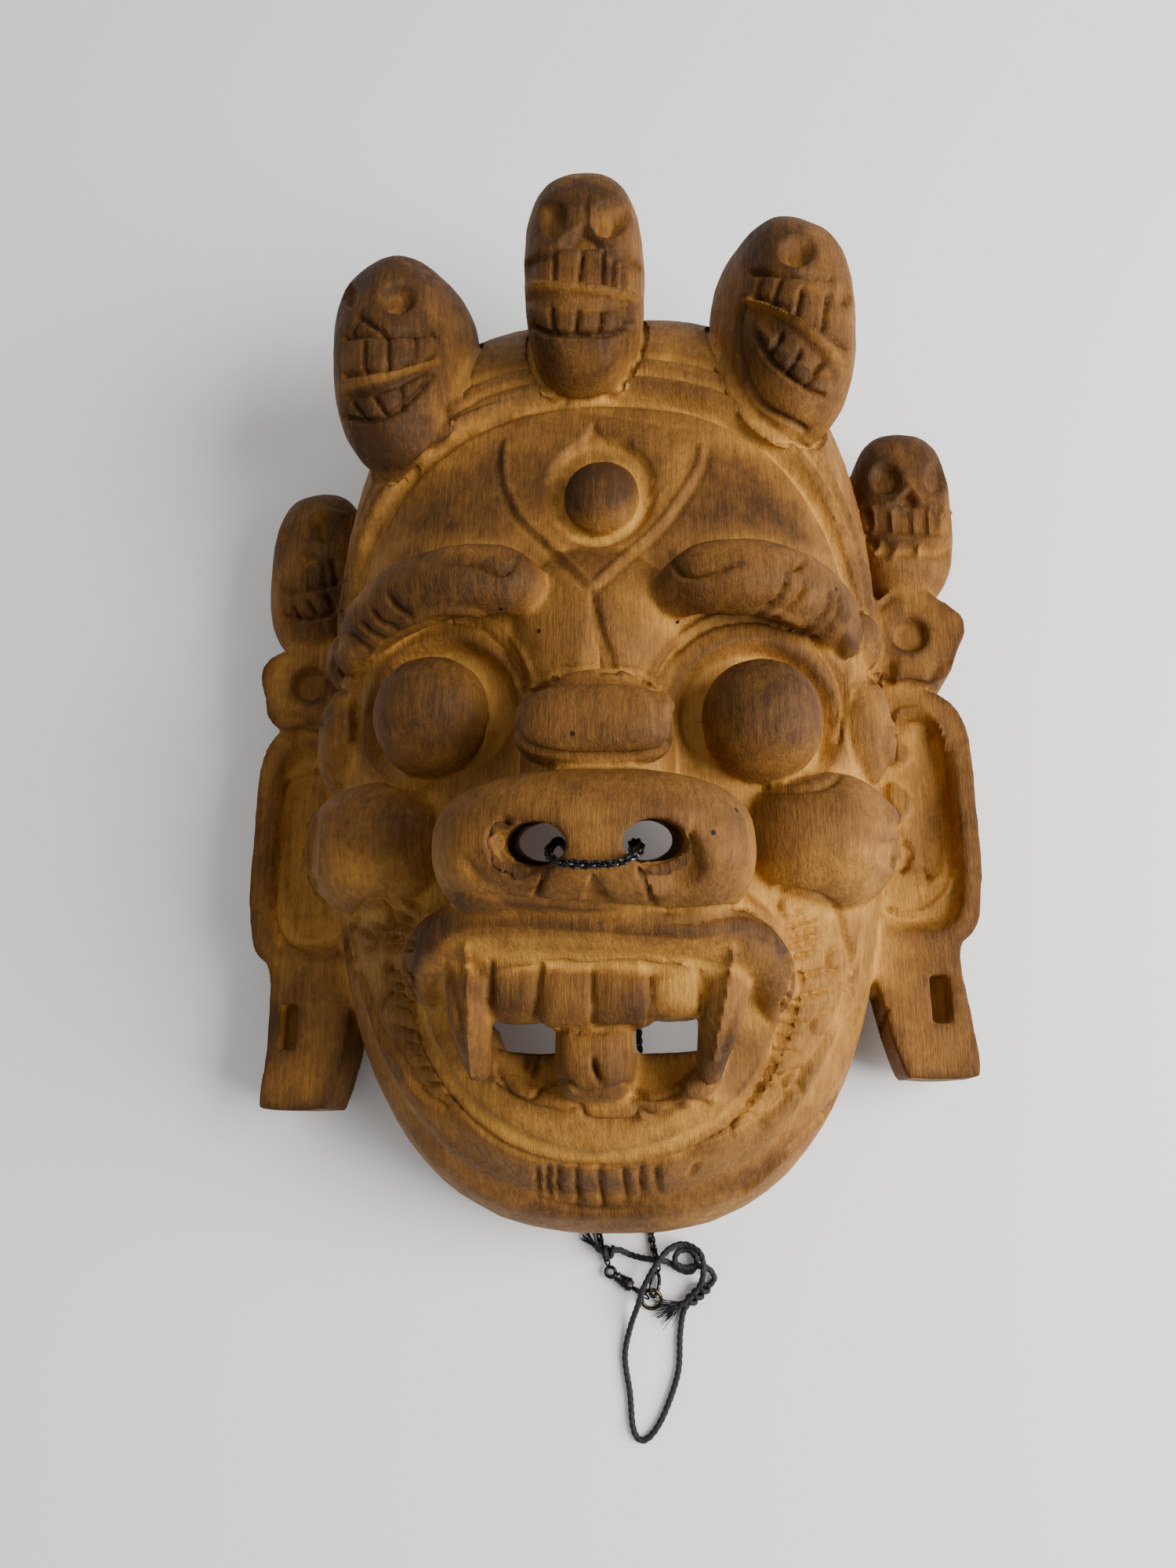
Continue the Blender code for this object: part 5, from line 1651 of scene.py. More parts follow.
    def ears(self) -> None:
        """Carve the scrolls and the ridge inside the ears."""
        chisel = self.chisel
        right_ridge = ((1133, 930), (1147, 909), (1174, 905), (1194, 918), (1206, 944), (1212, 997),
                       (1216, 1056), (1219, 1091), (1215, 1123), (1197, 1150), (1168, 1166), (1139, 1161))
        left_ridge = ((405, 984), (383, 987), (366, 995), (357, 1012), (353, 1040), (349, 1084),
                      (346, 1118), (347, 1155), (352, 1184), (363, 1204), (383, 1218), (409, 1224),
                      (429, 1216))
        self.lines((right_ridge, left_ridge), 10, -0.9)
        right_floor = ((1166, 944), (1186, 937), (1196, 960), (1202, 1040), (1203, 1098), (1184, 1120),
                       (1170, 1096), (1170, 1030), (1170, 975))
        left_floor = ((374, 1010), (398, 1006), (403, 1060), (401, 1120), (408, 1163), (378, 1163),
                      (366, 1120), (366, 1060))
        for floor in (right_floor, left_floor):
            chisel.patch(floor, 1.6, 14)
        scrolls = (
            ((1130, 932), (1142, 934), (1152, 948), (1161, 962), (1153, 974), (1140, 976), (1130, 972)),
            ((1132, 1005), (1146, 1002), (1163, 1020), (1157, 1039), (1142, 1049), (1132, 1048)),
        )
        for scroll in scrolls:
            chisel.patch(scroll, -1.3, 9)
        notch = ((1122, 1078), (1136, 1073), (1150, 1072), (1166, 1084), (1160, 1102), (1146, 1112),
                 (1124, 1106))
        chisel.patch(notch, 1.6, 7)
        hook_top = ((1139, 938), (1159, 923), (1180, 926), (1187, 940))
        notch_foot = ((1150, 1111), (1160, 1104), (1178, 1108), (1184, 1121))
        self.lines((hook_top, notch_foot), self.thin, 0.9)
        left_pit = ((377, 1172), (415, 1166), (412, 1186), (395, 1194), (379, 1185))
        chisel.patch(left_pit, 1.4, 8)

    def cut(self) -> None:
        """Cut all of it, from the crown down, with painted shade and grime in the cuts, darkest on the
        skulls.
        """
        # Per group, how strongly the cuts are painted with shade and grime.
        for grime_and_shade, steps in (
                (0.30, (self.middle_skull, self.left_skull, self.right_skull, self.side_skulls)),
                (0.22, (self.rosettes, self.ears, self.brows, self.nose, self.teeth)),
                (0.13, (self.forehead, self.sockets, self.lip, self.jaw, self.beard))):
            self.chisel.grime_and_shade = grime_and_shade
            for step in steps:
                step()

    def stain_and_paint_light(self) -> None:
        """Stain the rubbed high places darker and leave the golden hollows, area by area, and paint in light
        and shade: lighter undersides and right side, a darker left tab.
        """
        ovals = {
            "ring of the third eye": (766, 623, 72, 72, -0.16, 14),
            "third eye": (762, 617, 50, 44, 0.26, 24),
            "left eye": (540, 900, 66, 64, 0.20, 46),
            "right eye": (985, 896, 74, 62, 0.28, 46),
            "pad over the nose": (760, 918, 98, 34, 0.12, 30),
            "left cheek": (478, 1046, 66, 44, 0.22, 40),
            "right cheek": (1052, 1040, 66, 42, 0.06, 50),
            # Painted light: the undersides of the cheeks lighter.
            "under the left cheek": (500, 1112, 90, 40, -0.24, 60),
            "under the right cheek": (1040, 1115, 80, 40, -0.22, 60),
            "left tooth": (640, 1262, 40, 40, 0.24, 30),
            # Painted light on the right tooth.
            "right tooth": (868, 1272, 28, 36, -0.50, 20),
            "middle skull's chin": (745, 448, 60, 30, 0.10, 30),
            "middle skull's brow": (745, 246, 56, 22, 0.20, 24),
            "left skull's chin": (508, 565, 60, 36, 0.14, 30),
            "left skull's brow": (506, 344, 56, 24, 0.34, 26),
            "right skull's chin": (1000, 520, 60, 40, -0.14, 30),
            "right skull's brow": (968, 312, 30, 34, 0.18, 26),
            "small right skull": (1150, 622, 66, 84, 0.28, 30),
            "forehead": (740, 590, 120, 74, 0.18, 60),
            "band by the right skull": (960, 520, 70, 40, -0.16, 40),
            "band under the right skull": (972, 564, 44, 26, -0.20, 30),
            "side of the band on the right": (1094, 765, 22, 60, 0.24, 24),
            "side of the band on the left": (452, 715, 26, 54, -0.18, 26),
            "left of the shield": (676, 612, 26, 42, 0.14, 24),
            "foot of the shield": (756, 712, 30, 22, 0.14, 20),
            "right dome's middle": (942, 650, 60, 36, 0.12, 40),
            # Painted shade on the left tab, which the head shades, over its darker stain.
            "left tab": (394, 1340, 70, 100, 0.14, 40),
            "top of the left tab": (390, 1250, 44, 26, 0.10, 24),
            "top of the right tab": (1190, 1215, 44, 30, 0.10, 24),
            "eye of the right rosette": (1160, 812, 26, 24, 0.28, 12),
            "eye of the left rosette": (396, 876, 26, 24, 0.28, 12),
            "left rosette's rim": (365, 872, 22, 40, -0.14, 20),
            "right ear's floor": (1186, 1030, 22, 90, 0.18, 20),
            "right of the jaw": (948, 1355, 30, 44, 0.36, 30),
            "left beard": (470, 1226, 30, 30, -0.12, 24),
            "under the chin": (760, 1552, 110, 18, 0.16, 16),
        }
        for x, y, half_wide, half_tall, amount, edge in ovals.values():
            self.chisel.tint(self.oval(x, y, half_wide, half_tall), amount, edge)
        outlines = {
            "left dome": (0.34, 40, ((646, 572), (600, 590), (545, 635), (520, 680), (590, 690),
                (650, 690), (663, 660), (646, 620))),
            "right dome": (0.34, 40, ((895, 576), (951, 580), (1003, 634), (1040, 695), (960, 680),
                (870, 690), (842, 680), (875, 626))),
            "left brow": (0.26, 26, ((495, 722), (527, 695), (585, 708), (648, 705), (675, 700),
                (684, 740), (655, 776), (587, 778), (527, 785), (478, 812), (448, 822), (450, 780))),
            "right brow": (0.10, 26, ((835, 712), (856, 704), (910, 712), (978, 690), (1036, 715),
                (1072, 760), (1062, 815), (1002, 788), (910, 784), (849, 776), (828, 750))),
            "top of the nose": (0.08, 50, ((570, 1010), (640, 955), (870, 955), (945, 1010), (950, 1060),
                (860, 1040), (660, 1030), (580, 1070))),
            "lip's ridge": (0.22, 14, ((523, 1240), (535, 1180), (575, 1148), (675, 1150), (860, 1163),
                (950, 1160), (996, 1192), (1006, 1240), (985, 1210), (940, 1190), (860, 1195), (675, 1184),
                (590, 1184), (552, 1215))),
            "slope under the lip": (-0.20, 16, ((575, 1200), (664, 1192), (830, 1203), (940, 1200),
                (893, 1236), (784, 1240), (640, 1231))),
            "teeth": (0.12, 20, ((600, 1240), (893, 1245), (900, 1296), (780, 1304), (625, 1284))),
            "band round the jaw": (-0.16, 24, ((528, 1262), (550, 1360), (620, 1440), (706, 1478),
                (800, 1484), (894, 1456), (970, 1375), (998, 1275), (960, 1275), (915, 1400), (820, 1432),
                (700, 1420), (610, 1385), (570, 1270))),
            "chin": (0.22, 40, ((500, 1420), (620, 1500), (760, 1550), (900, 1530), (1000, 1470),
                (920, 1500), (690, 1500))),
            "middle skull's ledge": (-0.30, 8, ((675, 360), (739, 362), (812, 374), (808, 384), (739, 371),
                (676, 368))),
            "left skull's ledge": (-0.30, 8, ((440, 486), (552, 458), (553, 468), (442, 498))),
            "right skull's ledge": (-0.30, 8, ((953, 379), (990, 390), (1028, 412), (1078, 458),
                (1070, 466), (1022, 420), (955, 390))),
            "middle skull": (0.16, 20, ((664, 300), (690, 245), (745, 226), (800, 245), (824, 300),
                (826, 420), (812, 480), (745, 500), (680, 480), (664, 420))),
            "left skull": (0.28, 20, ((420, 400), (440, 345), (508, 317), (570, 345), (592, 400),
                (580, 540), (545, 590), (500, 606), (455, 580), (425, 480))),
            "right skull": (0.20, 20, ((918, 360), (940, 295), (996, 264), (1060, 285), (1086, 340),
                (1084, 450), (1050, 545), (1010, 570), (950, 530), (918, 470))),
            "left ear board": (-0.04, 20, ((330, 960), (420, 945), (420, 1230), (455, 1240), (440, 1420),
                (345, 1420), (320, 1160))),
            "small left skull": (0.24, 20, ((352, 680), (400, 618), (445, 640), (440, 800), (383, 818),
                (355, 760))),
            # Painted light on the right side: the beard, the cheek's border, the band and the ear.
            "right beard": (-0.22, 30, ((1010, 1150), (1076, 1165), (1095, 1240), (1060, 1330),
                (1000, 1410), (930, 1460), (960, 1390), (1000, 1300), (1010, 1220))),
            "right cheek's border": (-0.10, 30, ((1110, 1000), (1128, 1100), (1128, 1290), (1080, 1390),
                (1000, 1480), (1040, 1400), (1095, 1280), (1098, 1180), (1080, 1120))),
            "band on the right": (-0.10, 26, ((1000, 560), (1040, 580), (1090, 680), (1110, 790),
                (1090, 800), (1060, 700), (1010, 610))),
            "right ear": (-0.06, 18, ((1134, 912), (1162, 903), (1206, 925), (1218, 1090), (1200, 1150),
                (1162, 1168), (1134, 1156))),
        }
        for amount, edge, outline in outlines.values():
            self.chisel.tint(outline, amount, edge)

    def worm_holes(self) -> list[Vector]:
        """Find where the worm holes are on the wood, in metres.

        Returns:
            The middles of the holes.
        """
        chisel = self.chisel
        spots = ((637, 778), (864, 794), (688, 805), (728, 937), (909, 1060), (1066, 753), (781, 426),
                 (939, 1032))
        found = []
        for x, y in spots:
            away = np.hypot(chisel.px - x, chisel.py - y) + np.where(chisel.seen > 0.3, 0.0, 1e6)
            found.append(Vector(chisel.points[int(np.argmin(away))]) * MM)
        return found


@dataclass
class Mask:
    """The whole carving, fused from its forms and cut into."""

    grain_step: float = 0.85
    triangles: int = 194000
    spared: float = 0.75
    arch: tuple[float, float] = (60.0, 6.0)
    band_top: float = 51.0
    band_side: float = 7.0
    band_proud: float = 3.5
    band_lines: tuple[float, float] = (0.22, 0.42)
    line_deep: float = 1.4
    facets: tuple[float, float] = (0.35, 6.5)
    pale: float = 0.43
    face: Face = field(default_factory=Face)
    skulls: CrownSkulls = field(default_factory=CrownSkulls)
    ears: EarBoards = field(default_factory=EarBoards)

    def fuse(self) -> bpy.types.Object:
        """Cut the forms, join them and remesh them into one skin.

        Returns:
            The wood as one closed object.
        """
        back = [finished_object("cutter", HEAD.block(HEAD.wall, -9.0))]
        bores = [finished_object("cutter", bm) for bm in self.face.nostril_cutters()]
        mouth = [finished_object("cutter", bm) for bm in self.face.mouth_cutters()]
        slots = [finished_object("cutter", bm) for bm in self.ears.slot_cutters()]
        head = [HEAD.block(0.0, -5.0)] + self.face.mouth_forms() + self.face.head_forms()
        groups = (
            (head, back + bores + mouth),
            (self.face.nose_forms() + self.face.eye_forms(), back + bores),
            (self.face.tooth_forms() + self.skulls.forms(), back),
            (self.ears.forms(), back + slots),
        )
        joined = bmesh.new()
        for forms, tools in groups:
            for form in forms:
                item = finished_object("form", form)
                cut_away(item, tools)
                joined.from_mesh(item.data)
                remove_objects([item])
        remove_objects(back + bores + mouth + slots)
        mesh = bpy.data.meshes.new("mask_wood")
        joined.to_mesh(mesh)
        joined.free()
        wood = add_object("mask_wood", mesh)
        skin = wood.modifiers.new("Skin", "REMESH")
        skin.mode = "VOXEL"
        skin.voxel_size = self.grain_step * MM
        apply_modifiers(wood)
        return wood

    def carve_band(self, chisel: Chisel, front: np.ndarray) -> None:
        """Raise the crown's band above the forehead, with its two incised lines.

        Args:
            chisel: The chisel that holds the wood's points.
            front: A share for each point, 1 where it faces up.
        """
        x, y, z = chisel.x, chisel.y, chisel.z
        share = HEAD.share(x, y)
        skin = front * (1.0 - ramp(np.abs(z - HEAD.rise(x, y)), 2.5, 5.0)) * (share < 0.999)
        crown = ramp(y, HEAD.on_face(0, 5, 0).y, HEAD.on_face(0, 20, 0).y)
        brow_y = HEAD.on_face(0, 0, 0).y
        half = HEAD.width / 2 - self.band_side
        tall = HEAD.height / 2 + HEAD.middle_y - brow_y - self.band_top
        inner = (np.abs(x) / half) ** 2.2 + (np.clip(y - brow_y, 0, None) / tall) ** 2.2
        past = np.clip(inner ** (1 / 2.2) - 1.0, -1.0, None)
        band = ramp(past, -0.01, 0.03) * crown
        edge = np.clip(1.0 - np.abs(past + 0.01) / 0.04, 0, 1) * crown
        chisel.raise_by(self.band_proud * band - 2.5 * edge, skin)
        over = past / (past + 1.0 - share + 1e-6)
        for line in self.band_lines:
            cut = np.clip(1.0 - np.abs(over - line) / 0.05, 0, 1) * crown
            chisel.raise_by(-self.line_deep * cut, skin)

    def carve_face(self, chisel: Chisel) -> None:
        """Cut the sockets, third eye, crown band, lip hollow and the jaw's steps.

        Args:
            chisel: The chisel that holds the wood's points.
        """
        on = HEAD.on_face
        chisel.look(Matrix.Identity(4))
        x, y, z = chisel.x.copy(), chisel.y.copy(), chisel.z.copy()
        front = ramp(chisel.facing, 0.05, 0.35) * (z > 0.3 * HEAD.depth)
        self.carve_band(chisel, front)
        eye, socket = self.face.eye_radius, self.face.socket_radius
        for ex, ey in self.face.eyes:
            spot = on(ex, ey + 2.5, 0)
            away = np.hypot(x - spot.x, (y - spot.y) * 1.05)
            ring = ramp(away, eye - 2.5, eye + 0.5) * (1.0 - ramp(away, socket - 2, socket + 1))
            below = ramp(y, spot.y - eye - 2, spot.y - 4)
            chisel.raise_by(-self.face.socket_depth * ring * (z < 0.98 * HEAD.depth + 4), front * below)
        spot = on(*self.face.third_at, 0)
        away = np.hypot(x - spot.x, (y - spot.y) / 1.04)
        ring = ramp(away, self.face.third_eye - 1.5, self.face.third_eye)
        spot = on(*self.face.ring_at, 0)
        away = np.hypot(x - spot.x, (y - spot.y) / 1.15)
        ring = ring * (1.0 - ramp(away, self.face.third_ring - 1.5, self.face.third_ring + 0.5))
        chisel.raise_by(-self.face.third_deep * ring, front)
        lip = smooth_route([on(-34, -91, 0), on(1, -90, 0), on(36, -93, 0)], 4)
        chisel.groove(lip, 10, 0.6, front)
        jaw = [on(-52, -92, 0), on(-46, -112, 0), on(-32, -130, 0), on(0, -142, 0), on(34, -131, 0),
               on(48, -113, 0), on(54, -95, 0)]
        chisel.groove(smooth_route(jaw, 4), 5, 1.6, front * (z < 0.98 * HEAD.depth))
        low = ramp(-y, 62, 75)
        edge = np.clip(1.0 - np.abs(HEAD.share(x, y) - 0.93) / 0.03, 0, 1)
        outside = ramp(chisel.facing, 0.05, 0.35) * (z > 12) * (HEAD.share(x, y) < 1)
        chisel.raise_by(-1.8 * edge * low, outside)

    def carve_ears(self, chisel: Chisel) -> None:
        """Cut the long recess in each ear and the eye of each rosette.

        Args:
            chisel: The chisel that holds the wood's points.
        """
        chisel.look(Matrix.Identity(4))
        face = ramp(chisel.facing, 0.4, 0.7)
        for row, heart in zip(self.ears.rows, self.ears.hearts()):
            centre = HEAD.on_face(0, row[3], 0) + Vector((row[0] * (HEAD.width / 2 + 8), 0, 0))
            half_wide, half_tall = self.ears.recess_half
            across = np.abs(chisel.x - centre.x) / half_wide
            along = np.abs(chisel.y - centre.y + 1) / half_tall
            inside = 1.0 - ramp((across ** 4 + along ** 4) ** 0.25, 0.9, 1.06)
            beyond = ((np.abs(chisel.x) > HEAD.width / 2 - 3) * (chisel.z < self.ears.top + 2)
                      * (chisel.z > self.ears.top - 6))
            chisel.raise_by(-self.ears.recess * inside, face * beyond)
            away = np.hypot(chisel.x - heart.x, chisel.y - heart.y)
            eye = 1.0 - ramp(away, *self.ears.rosette_eye)
            chisel.raise_by(-self.ears.rosette_deep * eye, face * (chisel.z > self.ears.back + 4))

    def rub_stain(self, chisel: Chisel) -> None:
        """Darken what stands proud and leave the hollows pale.

        Args:
            chisel: The chisel that holds the wood's points.
        """
        chisel.refresh()
        chisel.stain_and_painted_light += self.pale
        reliefs = ((6, 0.3, 0.0, 0.10), (60, 2.2, -1.0, 0.24), (180, 5.0, -1.0, 0.16))
        for rounds, height, low, weight in reliefs:
            proud = np.tanh(chisel.height_above(rounds) / height)
            chisel.stain_and_painted_light += weight * np.clip(proud, low, 1.0)

    def build(self, finish: CarvedWood) -> bpy.types.Object:
        """Fuse, carve, stain, paint light and shade into the stain, and thin the wood.

        Args:
            finish: The wood's finish.

        Returns:
            The finished mask.
        """
        wood = self.fuse()
        chisel = Chisel(wood.data, VIEW)
        log.info("the skin has %d points", len(chisel.points))
        self.carve_face(chisel)
        self.carve_ears(chisel)
        chisel.soften(2)
        crease = ramp(-chisel.height_above(6), 0.06, 0.22) * ramp(chisel.points[:, 1], 62.0, 78.0)
        chisel.soften(12, chisel.averaged(crease, 3))
        chisel.refresh()
        chisel.facet(*self.facets)
        chisel.refresh()
        carving = PhotoCarving(chisel)
        carving.cut()
        chisel.soften(1)
        self.rub_stain(chisel)
        carving.stain_and_paint_light()
        finish.paint_hole_shade(carving.worm_holes())
        chisel.finish()
        self.trim(wood)
        wood.data.materials.clear()
        wood.data.materials.append(finish.material)
        wood.data.shade_smooth()
        wood.data.set_sharp_from_angle(angle=math.radians(60))
        return dress(wood, "mask")

    def trim(self, wood: bpy.types.Object) -> None:
        """Cut the rim flat, open the arch under the chin and thin the mesh.

        Args:
            wood: The carved object.
        """
        bm = bmesh.new()
        depth = 40.0
        size = (3 * HEAD.width, 2 * HEAD.height, depth)
        low = Matrix.Translation((0, 0, -depth / 2)) @ Matrix.Diagonal((*size, 1))
        bmesh.ops.create_cube(bm, size=1.0, matrix=low)
        table = finished_object("cutter", bm)
        wide, tall = self.arch
        way = [HEAD.on_face(2, -190, 0), HEAD.on_face(2, -120, 0)]
        arch = bar(way, (wide, wide), (2 * tall, 2 * tall), sides=40)
        tools = [table, finished_object("cutter", arch)]
        cut_away(wood, tools)
        remove_objects(tools)
        self.thin_out(wood)

    def thin_out(self, wood: bpy.types.Object) -> None:
        """Thin the mesh, and the back and the hollow more than the carved front.

        Args:
            wood: The carved object.
        """
        mesh = wood.data
        outward = np.empty(len(mesh.vertices) * 3)
        mesh.vertices.foreach_get("normal", outward)
        behind = outward[2::3] < -0.25
        wood.vertex_groups.new(name="behind").add(np.nonzero(behind)[0].tolist(), 1.0, "REPLACE")
        mesh.calc_loop_triangles()
        corners = np.empty(len(mesh.loop_triangles) * 3, dtype=np.int32)
        mesh.loop_triangles.foreach_get("vertices", corners)
        hidden = np.count_nonzero(behind[corners.reshape(-1, 3)].all(axis=1)) / len(mesh.loop_triangles)
        first = wood.modifiers.new("Thin behind", "DECIMATE")
        first.vertex_group = "behind"
        first.ratio = 1.0 - self.spared * hidden
        apply_modifiers(wood)
        wood.vertex_groups.clear()
        wood.data.calc_loop_triangles()
        second = wood.modifiers.new("Thin", "DECIMATE")
        second.ratio = min(1.0, self.triangles / len(wood.data.loop_triangles))
        log.info("thinned from %d, %.2f of it behind, then %.2f", len(corners) // 3, hidden, second.ratio)
        apply_modifiers(wood)


# Chain, clasp and wire


@dataclass
class NoseChain:
    """The fine chain, up one nostril, over the septum and down the other."""

    diameter: float = 2.0
    pitch: float = 1.3
    link: tuple[float, float, float] = (2.5, 1.75, 0.82)
    link_steps: int = 8
    slant: float = 45.0
    drift: float = 4.0
    route: tuple[tuple[float, float, float], ...] = (
        (-2.4, -169.4, 1.6), (-4.4, -164.0, 1.3), (-5.0, -155.0, 1.3), (-4.8, -132.0, 1.3),
        (-5.2, -107.0, 1.3), (-6.4, -85.0, 1.3), (-7.6, -66.0, 1.5), (-9.0, -57.0, 7.0),
        (-9.6, -53.6, 22.0), (-9.6, -52.4, 44.0), (-9.4, -53.4, 66.0), (-8.4, -58.0, 88.0),
        (-7.0, -64.6, 110.0), (-6.6, -68.4, 120.6), (-4.4, -71.6, 125.2), (0.6, -72.6, 125.9),
        (5.6, -72.8, 126.2), (11.0, -72.2, 126.0), (14.6, -69.0, 121.8), (14.4, -65.0, 111.0),
        (12.4, -59.6, 92.0), (10.0, -54.6, 68.0), (9.4, -52.8, 44.0), (9.2, -53.6, 22.0),
        (8.6, -57.6, 7.0), (8.0, -67.0, 1.5), (7.6, -84.0, 1.3), (8.0, -100.0, 1.3),
        (8.8, -122.0, 1.3), (10.0, -145.0, 1.3), (11.0, -161.0, 1.3), (12.2, -167.0, 1.4),
        (13.1, -170.8, 2.1),
    )

    def build(self, finish: Finish) -> bpy.types.Object:
        """String small oval links along the route, each turned against the last.

        Args:
            finish: The chain's finish.

        Returns:
            The chain.
        """
        line = even_route(self.route, self.pitch)
        frames = carried_frames(line)
        long, wide, wire = self.link
        bm = bmesh.new()
        for i, (point, turned) in enumerate(zip(line, frames)):
            turn = math.radians(self.slant + 90 * (i % 2) + self.drift * i)
            around = turned @ Matrix.Rotation(turn, 3, "Z")
            base = around.to_4x4()
            base.translation = point
            rim = []
            for step in range(self.link_steps):
                angle = math.tau * step / self.link_steps
                rim.append(base @ Vector((wide / 2 * math.cos(angle), 0, long / 2 * math.sin(angle))))
            normal = around @ Vector((0, 1, 0))
            join_part(bm, bar(rim, (wire, wire), (wire, wire), sides=4, up=normal, closed=True))
        chain = finished_object("nose_chain_links", bm, finish.material)
        dress(chain, "nose_chain")
        return chain


@dataclass
class HangingWire:
    """The stranded cord: a tuft and a knot, a hump over the chain, two small turns and a long loop."""

    diameter: float = 1.8
    strands: int = 3
    core: float = 0.76
    bulge: float = 0.30
    lay_length: float = 6.0
    sides: int = 18
    step: float = 0.42
    fray: int = 40
    fray_seed: int = 7
    fibre_width: float = 0.34
    fibre_reach: tuple[float, float] = (4.2, 6.8)
    fan: float = 28.0
    wrap_wire: float = 1.5
    route: tuple[tuple[float, float, float], ...] = (
        (-6.0, -164.6, 3.4), (-4.2, -166.2, 4.3), (-1.6, -166.6, 4.4),
        (1.2, -166.0, 3.4), (4.4, -167.4, 1.6), (8.0, -168.2, 3.2), (11.0, -168.4, 5.1),
        (13.6, -168.6, 5.2), (16.6, -169.6, 3.0), (19.6, -171.6, 1.1), (23.0, -172.2, 1.1),
        (25.0, -169.4, 1.2), (23.0, -166.2, 1.6), (19.4, -166.4, 3.0), (18.4, -169.2, 4.2),
        (21.0, -170.8, 3.8), (25.0, -170.4, 3.6), (28.4, -171.2, 2.6), (30.0, -174.2, 1.4),
        (27.0, -177.2, 1.1), (23.6, -179.6, 1.1), (20.6, -183.4, 1.1), (19.4, -190.0, 1.1),
        (18.6, -200.0, 1.1), (14.6, -210.6, 1.1), (10.6, -216.8, 1.1), (7.2, -218.4, 1.1),
        (5.0, -215.0, 1.1), (4.2, -206.0, 1.1), (2.8, -196.0, 1.1), (4.6, -187.6, 2.0),
        (7.0, -181.4, 5.2), (9.2, -175.6, 6.6), (12.6, -170.0, 7.6), (16.6, -165.6, 5.2),
        (21.4, -164.2, 3.8), (26.0, -166.6, 5.2), (26.8, -171.4, 5.8), (25.6, -176.0, 3.8),
        (22.0, -180.0, 3.6), (19.6, -181.2, 3.2),
    )
    wraps: tuple[tuple[Point, Point, float], ...] = (
        ((-2.2, -166.6, 4.0), (0, 70, 20), 1.5), ((-0.8, -166.6, 3.9), (0, 100, -15), 1.5),
        ((26.9, -176.6, 2.6), (0, 62, 60), 1.6), ((25.0, -178.3, 2.5), (0, 62, 60), 1.6),
        ((23.1, -179.9, 2.5), (0, 62, 60), 1.5),
    )

    def fibre(self, bm: bmesh.types.BMesh, start: Vector, finish: Vector, sag: float, thick: float) -> None:
        """Add one loose fibre, a thin curved tube, to a bmesh.

        Args:
            bm: The bmesh that grows.
            start: Where the fibre leaves the cord.
            finish: Its loose end.
            sag: How far its middle is lifted.
            thick: Its thickness.
        """
        middle = (start + finish) / 2 + Vector((0, 0, sag))
        line = smooth_route([start, middle, finish], 3)
        join_part(bm, bar(line, (thick, thick * 0.6), (thick, thick * 0.6), sides=5))

    def build(self, finish: Finish) -> bpy.types.Object:
        """Loft a twisted section along the route and fan out fibres at both ends.

        Args:
            finish: The strand's finish.

        Returns:
            The wire.
        """
        line = even_route(self.route, self.step)
        frames = carried_frames(line)
        bm = bmesh.new()
        ring = bmesh.ops.create_circle(bm, segments=self.sides, radius=1.0)["verts"]
        first = edges = list(bm.edges)
        travelled = 0.0
        for i, (point, turned) in enumerate(zip(line, frames)):
            if i:
                ring, edges = grow_ring(bm, edges)
                travelled += (point - line[i - 1]).length
            twist = math.tau * travelled / self.lay_length
            for vert in ring:
                flat = frames[i - 1].inverted() @ (vert.co - line[i - 1]) if i else vert.co
                angle = math.atan2(flat.y, flat.x)
                swell = abs(math.cos(self.strands * (angle - twist) / 2))
                reach = self.diameter / 2 * (self.core + self.bulge * swell)
                vert.co = point + turned @ Vector((reach * math.cos(angle), reach * math.sin(angle), 0))
        bmesh.ops.edgeloop_fill(bm, edges=edges)
        bmesh.ops.edgeloop_fill(bm, edges=first)
        wire = finished_object("hanging_wire_strands", bm, finish.material)
        dress(wire, "hanging_wire")
        frays = self.build_frays(line, finish)
        return wire

    def build_frays(self, line: Sequence[Vector], finish: Finish) -> bpy.types.Object:
        """Fan out loose fibres at both ends of the cord.

        Args:
            line: The cord's centreline.
            finish: The strand's finish.

        Returns:
            Both tufts as one piece.
        """
        bm = bmesh.new()
        chance = np.random.default_rng(self.fray_seed)
        for end, ahead, spread in ((line[0], line[0] - line[6], 0.9), (line[-1], line[-1] - line[-7], 1.4)):
            ahead = ahead.normalized()
            for _ in range(self.fray):
                yaw = math.radians(chance.uniform(-self.fan, self.fan) * spread)
                away = Quaternion((0, 0, 1), yaw) @ ahead
                reach = chance.uniform(*self.fibre_reach) * spread
                start = end + Vector((*chance.uniform(-0.4, 0.4, 2), chance.uniform(-0.3, 0.3))) - ahead * 0.6
                tip = start + away * reach
                tip.z = chance.uniform(0.35, 2.6)
                self.fibre(bm, start, tip, chance.uniform(-0.1, 0.6), self.fibre_width)
        for place, turn, radius in self.wraps:
            join_part(bm, wire_loop(pose(place, turn), radius, radius * 0.9, self.wrap_wire, 20, 8))
        tufts = finished_object("hanging_wire_frays", bm, finish.material)
        return dress(tufts, "hanging_wire")


